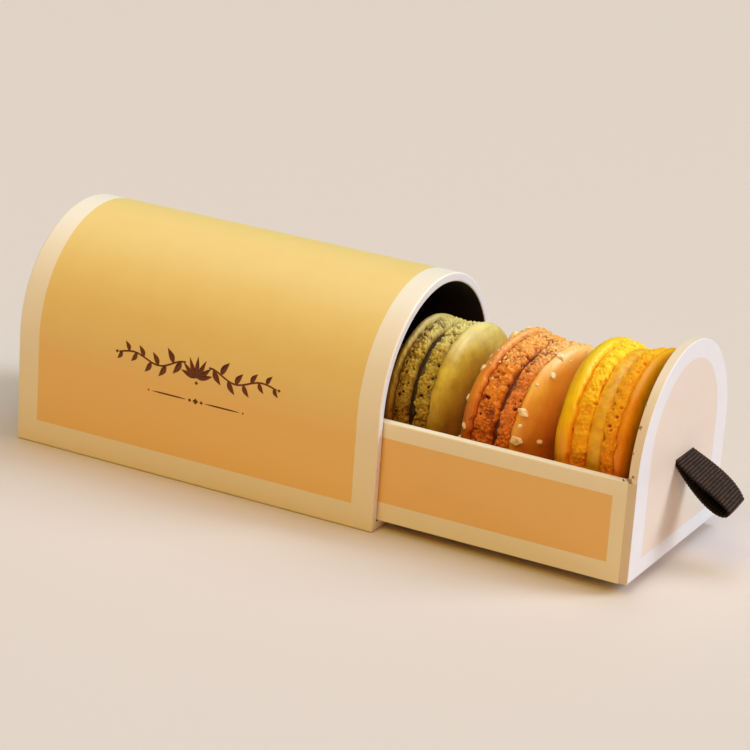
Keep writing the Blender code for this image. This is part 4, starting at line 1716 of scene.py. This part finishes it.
@dataclass
class NutTopping:
    """Chips and crumbs of nut, baked onto a macaron's two domes.

    The chips lie as the solids have them: some are set one by one, and the rest follow a
    golden-angle spread that leaves out the arc already filled and the part near the floor.
    Where the crumbs lie is given by a middle and a deviation, round the dome and up it.
    """

    macaron: Macaron
    spread: int = 26
    golden_deg: float = 137.508
    wander_deg: float = 9.0
    low_deg: float = 6.0
    high_deg: float = 36.0
    floor_arc_deg: float = 34.0
    sizes: tuple[float, float] = (0.9 * MM, 1.4 * MM)
    chip_corners: int = 24
    crumbs: int = 190
    crumb_corners: int = 9
    crumb_sizes: tuple[float, float] = (0.2 * MM, 0.48 * MM)
    crumb_around_deg: tuple[float, float] = (84.0, 20.0)
    crumb_rise_deg: tuple[float, float] = (-6.0, 12.0)
    back_share: float = 0.75
    foot_deg: float = 30.0
    foot_radius: float = 0.972

    def shown(self, side: Side) -> tuple[tuple[float, float], list[Chip]]:
        """Give the chips that face the open side, and the arc that they fill.

        Args:
            side: Which dome.

        Returns:
            The arc's first and last degree, and the chips.
        """
        if side is Side.BACK:
            rows = ((80, 14, 1.2), (58, 30, 0.7), (45, 16, 1.0), (22, 30, 1.0), (4, 8, 0.9),
                    (97, 14, 1.0), (90, 27, 1.0))
            arc = (-6.0, 106.0)
        else:
            rows = ((106, 10, 1.15), (121, 25, 0.9), (154, 9, 1.3), (163, 13, 0.6),
                    (172, 12, 1.5), (175, 50, 1.1))
            arc = (90.0, 186.0)
        return arc, [Chip(side, around, rise, size * MM) for around, rise, size in rows]

    def chips(self, side: Side) -> list[Chip]:
        """Give all the chips on one dome.

        Args:
            side: Which dome.

        Returns:
            The chips.
        """
        draw = random.Random(10 * self.macaron.seed + side.value)
        (first, last), rows = self.shown(side)
        for count in range(self.spread):
            step = draw.uniform(-self.wander_deg, self.wander_deg)
            around = (self.golden_deg * count + step) % 360.0
            rise = self.low_deg + (self.high_deg - self.low_deg) * (count + 0.5) / self.spread
            size = draw.uniform(*self.sizes)
            filled = first <= around <= last or first <= around - 360.0 <= last
            if not filled and abs(around - 270.0) > self.floor_arc_deg:
                rows.append(Chip(side, around, rise, size))
        return rows

    def seat(self, chip: Chip) -> tuple[Vector, Vector]:
        """Where a chip sits and which way is out there, in the shell's own frame.

        Args:
            chip: The chip; a rise below 0 puts it on the foot.

        Returns:
            Its middle, and the way out from the surface.
        """
        shell = self.macaron.shell(chip.side)
        around = math.radians(chip.around_deg)
        if chip.rise_deg < 0.0:
            normal = Vector((0.0, math.cos(around), math.sin(around)))
            axial = shell.foot * (1.0 + chip.rise_deg / self.foot_deg)
            centre = Vector((axial, 0.0, 0.0)) + normal * self.foot_radius * self.macaron.radius
            return centre, normal
        axial, radial = self.macaron.dome_point(shell, math.radians(chip.rise_deg))
        power = self.macaron.dome_power - 1.0
        height = shell.dome - self.macaron.lip
        rise = max(axial - shell.foot - self.macaron.lip, 0.0) / height
        along = rise ** power / height
        out = (radial / self.macaron.radius) ** power / self.macaron.radius
        centre = Vector((axial, radial * math.cos(around), radial * math.sin(around)))
        normal = Vector((along, out * math.cos(around), out * math.sin(around))).normalized()
        return centre, normal

    def add_chip(self, bm: BMesh, chip: Chip, draw: random.Random, stretch: Vector,
                 spin: float, corners: int) -> None:
        """Add one broken chip: the hull of a few random corners, so all its faces are flat.

        Args:
            bm: Where to add it.
            chip: Its place and size.
            draw: Where its corners are drawn from.
            stretch: Its size along its three axes, as shares.
            spin: How far it is turned on the dome.
            corners: How many corners it is made from.
        """
        centre, normal = self.seat(chip)
        stand = normal.to_track_quat("Z", "Y").to_matrix().to_4x4()
        place = self.macaron.stand(chip.side) @ Matrix.Translation(centre) @ stand
        place = place @ Matrix.Rotation(spin, 4, "Z")
        verts = []
        for _ in range(corners):
            corner = random_way(draw) * draw.uniform(0.8, 1.15) * stretch * chip.size
            verts.append(bm.verts.new(place @ corner))
        hull = bmesh.ops.convex_hull(bm, input=verts)
        spare = {item for item in hull["geom_interior"] + hull["geom_unused"]
                 if isinstance(item, BMVert)}
        bmesh.ops.delete(bm, geom=list(spare), context="VERTS")

    def build(self, nut: Material, crumb: Material) -> list[Object]:
        """Model the chips and the crumbs and dress them.

        Args:
            nut: The chips' flesh.
            crumb: The crumbs, which are browner.

        Returns:
            The chips' object and the crumbs' object.
        """
        bm = bmesh.new()
        for side in Side:
            draw = random.Random(10 * self.macaron.seed + side.value + 100)
            corners = random.Random(700 + side.value)
            for chip in self.chips(side):
                stretch = Vector((draw.uniform(0.95, 1.15), draw.uniform(0.8, 0.95), 0.6))
                self.add_chip(bm, chip, corners, stretch, draw.uniform(0.0, math.pi),
                              self.chip_corners)
        chips = self.dressed("nut_chips", bm, nut)
        bm = bmesh.new()
        draw = random.Random(41)
        for _ in range(self.crumbs):
            side = Side.BACK if draw.random() < self.back_share else Side.FRONT
            around = draw.gauss(*self.crumb_around_deg)
            rise = max(draw.gauss(*self.crumb_rise_deg), 0.2 - self.foot_deg)
            size = draw.uniform(*self.crumb_sizes)
            stretch = Vector((draw.uniform(0.9, 1.5), draw.uniform(0.7, 1.0), 0.7))
            self.add_chip(bm, Chip(side, around, rise, size), draw, stretch,
                          draw.uniform(0.0, math.pi), self.crumb_corners)
        return [chips, self.dressed("nut_crumbs", bm, crumb)]

    def dressed(self, name: str, bm: BMesh, material: Material) -> Object:
        """Make a piece of the chips, with crisp edges between their faces.

        Args:
            name: The piece's name.
            bm: The chips.
            material: Their nut.

        Returns:
            The piece's object.
        """
        bmesh.ops.recalc_face_normals(bm, faces=bm.faces[:])
        piece = new_piece(name, bm, (material,), Body.DRAWER)
        piece.data.shade_flat()
        return piece


@dataclass(frozen=True)
class SoftLight:
    """One soft studio light, aimed at the box.

    It has the brightness and the spread that a square lamp of its size, place and watts has
    at the box, but it lights the whole floor alike, as a large soft box far off does.
    """

    name: str
    place: tuple[float, float, float]
    size: float
    watts: float
    tone: str

    def falls(self, aim: Vector) -> tuple[Vector, float]:
        """Give the way the light falls on the box, and its watts on each square metre there."""
        ray = aim - Vector(self.place)
        return ray, self.watts / (math.pi * ray.length_squared)


@dataclass
class Studio:
    """A plain pale floor, soft lights and the camera at the photograph's viewing angle."""

    aim: Vector
    camera_place: tuple[float, float, float] = (0.32643, -0.57545, 0.25382)
    turn_deg: float = 27.02
    tilt_deg: float = 19.35
    roll_deg: float = 4.05
    lens_mm: float = 138.25
    lights: tuple[SoftLight, ...] = (
        SoftLight("window_key", (0.95, 0.55, 0.75), 0.55, 10.4, "E9F2FF"),
        SoftLight("top_soft", (0.0, 0.15, 1.1), 0.8, 5.3, "D8E8FF"),
        SoftLight("warm_front", (0.0, -0.65, 1.0), 0.7, 4.2, "FFEA7C"),
        SoftLight("warm_side", (0.5, -0.72, 0.6), 0.6, 2.9, "FF9230"),
        SoftLight("high_right", (0.6, 0.25, 0.95), 0.7, 2.3, "F0F7FF"),
    )
    floor_tone: str = "D4CCC4"
    floor_size: float = 20.0
    floor_drop: float = 0.05 * MM
    sky_tone: str = "E8ECF4"
    sky_strength: float = 0.03

    def build(self) -> None:
        """Set the floor, the lights, the sky and the camera."""
        self.add_floor()
        for light in self.lights:
            self.add_light(light)
        self.add_sky()
        self.add_camera()
        bpy.context.scene.view_settings.view_transform = "Standard"

    def lit_floor(self) -> tuple[float, float, float, float]:
        """Work out how bright the lights make the floor, for a backdrop that matches it.

        Returns:
            The floor's brightness as a linear colour.
        """
        paint = linear(self.floor_tone)
        glow = [self.sky_strength * part for part in linear(self.sky_tone)]
        for light in self.lights:
            ray, power = light.falls(self.aim)
            share = power * -ray.normalized().z / math.pi
            glow = [lit + share * part for lit, part in zip(glow, linear(light.tone))]
        red, green, blue = (lit * part for lit, part in zip(glow[:3], paint[:3]))
        return red, green, blue, 1.0

    def add_sky(self) -> None:
        """Make the sky: a faint light on the box, and a plain backdrop above the floor."""
        world = bpy.data.worlds.new("soft_sky")
        bpy.context.scene.world = world
        world.use_nodes = True
        tree = world.node_tree
        faint = tree.nodes["Background"]
        faint.inputs["Color"].default_value = linear(self.sky_tone)
        faint.inputs["Strength"].default_value = self.sky_strength
        backdrop = add_node(tree, "ShaderNodeBackground",
                            {"Color": self.lit_floor()}).outputs["Background"]
        seen = add_node(tree, "ShaderNodeLightPath").outputs["Is Camera Ray"]
        both = add_node(tree, "ShaderNodeMixShader", None,
                        {0: seen, 1: faint.outputs["Background"], 2: backdrop})
        tree.links.new(both.outputs["Shader"], tree.nodes["World Output"].inputs["Surface"])

    def add_floor(self) -> None:
        """Lay the floor just under the sleeve."""
        bm = bmesh.new()
        bmesh.ops.create_grid(bm, x_segments=8, y_segments=8, size=self.floor_size)
        bmesh.ops.translate(bm, verts=bm.verts[:], vec=(0.0, 0.0, CAD_LOW.z - self.floor_drop))
        mesh = bpy.data.meshes.new("floor")
        bm.to_mesh(mesh)
        bm.free()
        made, tree, shader = blank_material("matt_painted_tabletop")
        place = add_node(tree, "ShaderNodeTexCoord").outputs["Object"]
        grain = add_node(tree, "ShaderNodeTexNoise", {"Scale": per_metre(2.0), "Detail": 4.0},
                         {"Vector": place}).outputs["Fac"]
        bump = add_node(tree, "ShaderNodeBump", {"Strength": 0.15, "Distance": 0.05 * MM},
                        {"Height": grain})
        tree.links.new(bump.outputs["Normal"], shader.inputs["Normal"])
        shader.inputs["Base Color"].default_value = linear(self.floor_tone)
        shader.inputs["Roughness"].default_value = 0.75
        mesh.materials.append(made)
        floor = bpy.data.objects.new("floor", mesh)
        bpy.context.scene.collection.objects.link(floor)

    def add_light(self, light: SoftLight) -> None:
        """Hang one light and aim it.

        Args:
            light: The light.
        """
        ray, power = light.falls(self.aim)
        data = bpy.data.lights.new(light.name, "SUN")
        data.angle = 2.0 * math.atan(0.5 * light.size / ray.length)
        data.energy = power
        data.color = linear(light.tone)[:3]
        lamp = bpy.data.objects.new(light.name, data)
        lamp.location = light.place
        lamp.rotation_euler = ray.to_track_quat("-Z", "Y").to_euler()
        bpy.context.scene.collection.objects.link(lamp)

    def add_camera(self) -> None:
        """Stand the camera where the photograph was taken from."""
        data = bpy.data.cameras.new("photo_camera")
        data.sensor_width = 36.0
        data.lens = self.lens_mm
        data.clip_start = 0.01
        camera = bpy.data.objects.new("photo_camera", data)
        turn = Matrix.Rotation(math.radians(self.turn_deg), 4, "Z")
        tilt = Matrix.Rotation(math.radians(90.0 - self.tilt_deg), 4, "X")
        roll = Matrix.Rotation(math.radians(self.roll_deg), 4, "Z")
        camera.matrix_world = Matrix.Translation(self.camera_place) @ turn @ tilt @ roll
        bpy.context.scene.collection.objects.link(camera)
        bpy.context.scene.camera = camera


MACARONS = (
    Macaron("green", radius=19.8 * MM, filling_radius=17.8 * MM, filling_thickness=2.0 * MM,
            back=Shell(3.7 * MM, 4.0 * MM), front=Shell(4.0 * MM, 4.9 * MM), dome_power=2.5,
            lean_deg=-2.5, yaw_deg=-3.0, seed=1, shell_slot="green_meringue",
            filling_slot="dark_filling", roughness=0.9,
            pits={Side.BACK: (Pit(34, 0.47, 0.55), Pit(50, 0.65, 0.50), Pit(25, 0.51, 0.40)),
                  Side.FRONT: (Pit(136, 0.82, 0.60), Pit(147, 0.72, 0.45))}),
    Macaron("amber", radius=20.3 * MM, filling_radius=18.2 * MM, filling_thickness=1.5 * MM,
            back=Shell(5.2 * MM, 6.1 * MM), front=Shell(4.0 * MM, 5.2 * MM), dome_power=2.2,
            lean_deg=3.6, yaw_deg=-8.5, seed=2, shell_slot="amber_meringue",
            filling_slot="dark_filling",
            pits={Side.BACK: (Pit(27, 0.57, 0.65), Pit(46, 0.76, 0.40), Pit(15, 0.72, 0.45)),
                  Side.FRONT: (Pit(154, 0.72, 0.65),)}),
    Macaron("yellow", radius=21.9 * MM, filling_radius=20.4 * MM, filling_thickness=3.6 * MM,
            back=Shell(3.8 * MM, 6.4 * MM), front=Shell(3.8 * MM, 4.5 * MM), dome_power=2.7,
            lean_deg=-1.5, yaw_deg=-2.0, seed=3, shell_slot="yellow_meringue",
            filling_slot="cream_filling", roughness=0.6,
            pits={Side.FRONT: (Pit(149, 0.64, 0.45), Pit(158, 0.49, 0.35))}),
)


def main() -> None:
    """Build every sub-assembly in order."""
    logging.basicConfig(level=logging.INFO, format="%(name)s: %(message)s")
    panel_low, panel_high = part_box("drawer_end_panel")
    board = panel_high.x - panel_low.x
    spring_z = panel_high.z - panel_high.y
    Studio((CAD_LOW + CAD_HIGH) / 2).build()
    papers = {
        "border": BORDER_PAPER.build(),
        "white": WHITE_PAPER.build(),
        "sleeve_field": SLEEVE_FIELD.build(),
        "drawer_field_painted_shade": DRAWER_FIELD_PAINTED_SHADE.build(),
        "panel_field_painted_light": PANEL_FIELD_PAINTED_LIGHT.build(),
        "side": SIDE_PAPER_PAINTED_SHADE.build(),
        "worn_edge": WORN_EDGE_PAPER.build(),
        "lining": LINING_PAPER.build(),
    }
    Sleeve(board, spring_z).build(papers)
    FoilOrnament(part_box("sleeve")[1].y, spring_z).build(FOIL.build())
    Drawer(board, spring_z).build(papers)
    Frays(panel_high.y, spring_z).build(TORN_BOARD.build())
    PullRibbon(board=board).build(RIBBON_CLOTH.build())
    meringues = {"green": GREEN_MERINGUE.build(), "amber": AMBER_MERINGUE.build(),
                 "yellow": YELLOW_MERINGUE.build()}
    # Painted shade: the amber's back shell and the yellow's front shell take the darker copies of
    # their meringue
    browner = {("amber", Side.BACK): AMBER_MERINGUE_PAINTED_SHADE.build(),
               ("yellow", Side.FRONT): YELLOW_MERINGUE_PAINTED_SHADE.build()}
    fillings = {"green": DARK_GANACHE.build(), "amber": RED_GANACHE.build(),
                "yellow": YELLOW_BUTTERCREAM.build()}
    for macaron in MACARONS:
        for side in Side:
            baked = browner.get((macaron.name, side), meringues[macaron.name])
            macaron.build_shell(side, baked)
        macaron.build_filling(fillings[macaron.name])
        if macaron.name == "amber":
            NutTopping(macaron).build(NUT.build(), TOASTED_CRUMB.build())


if __name__ == "__main__":
    main()
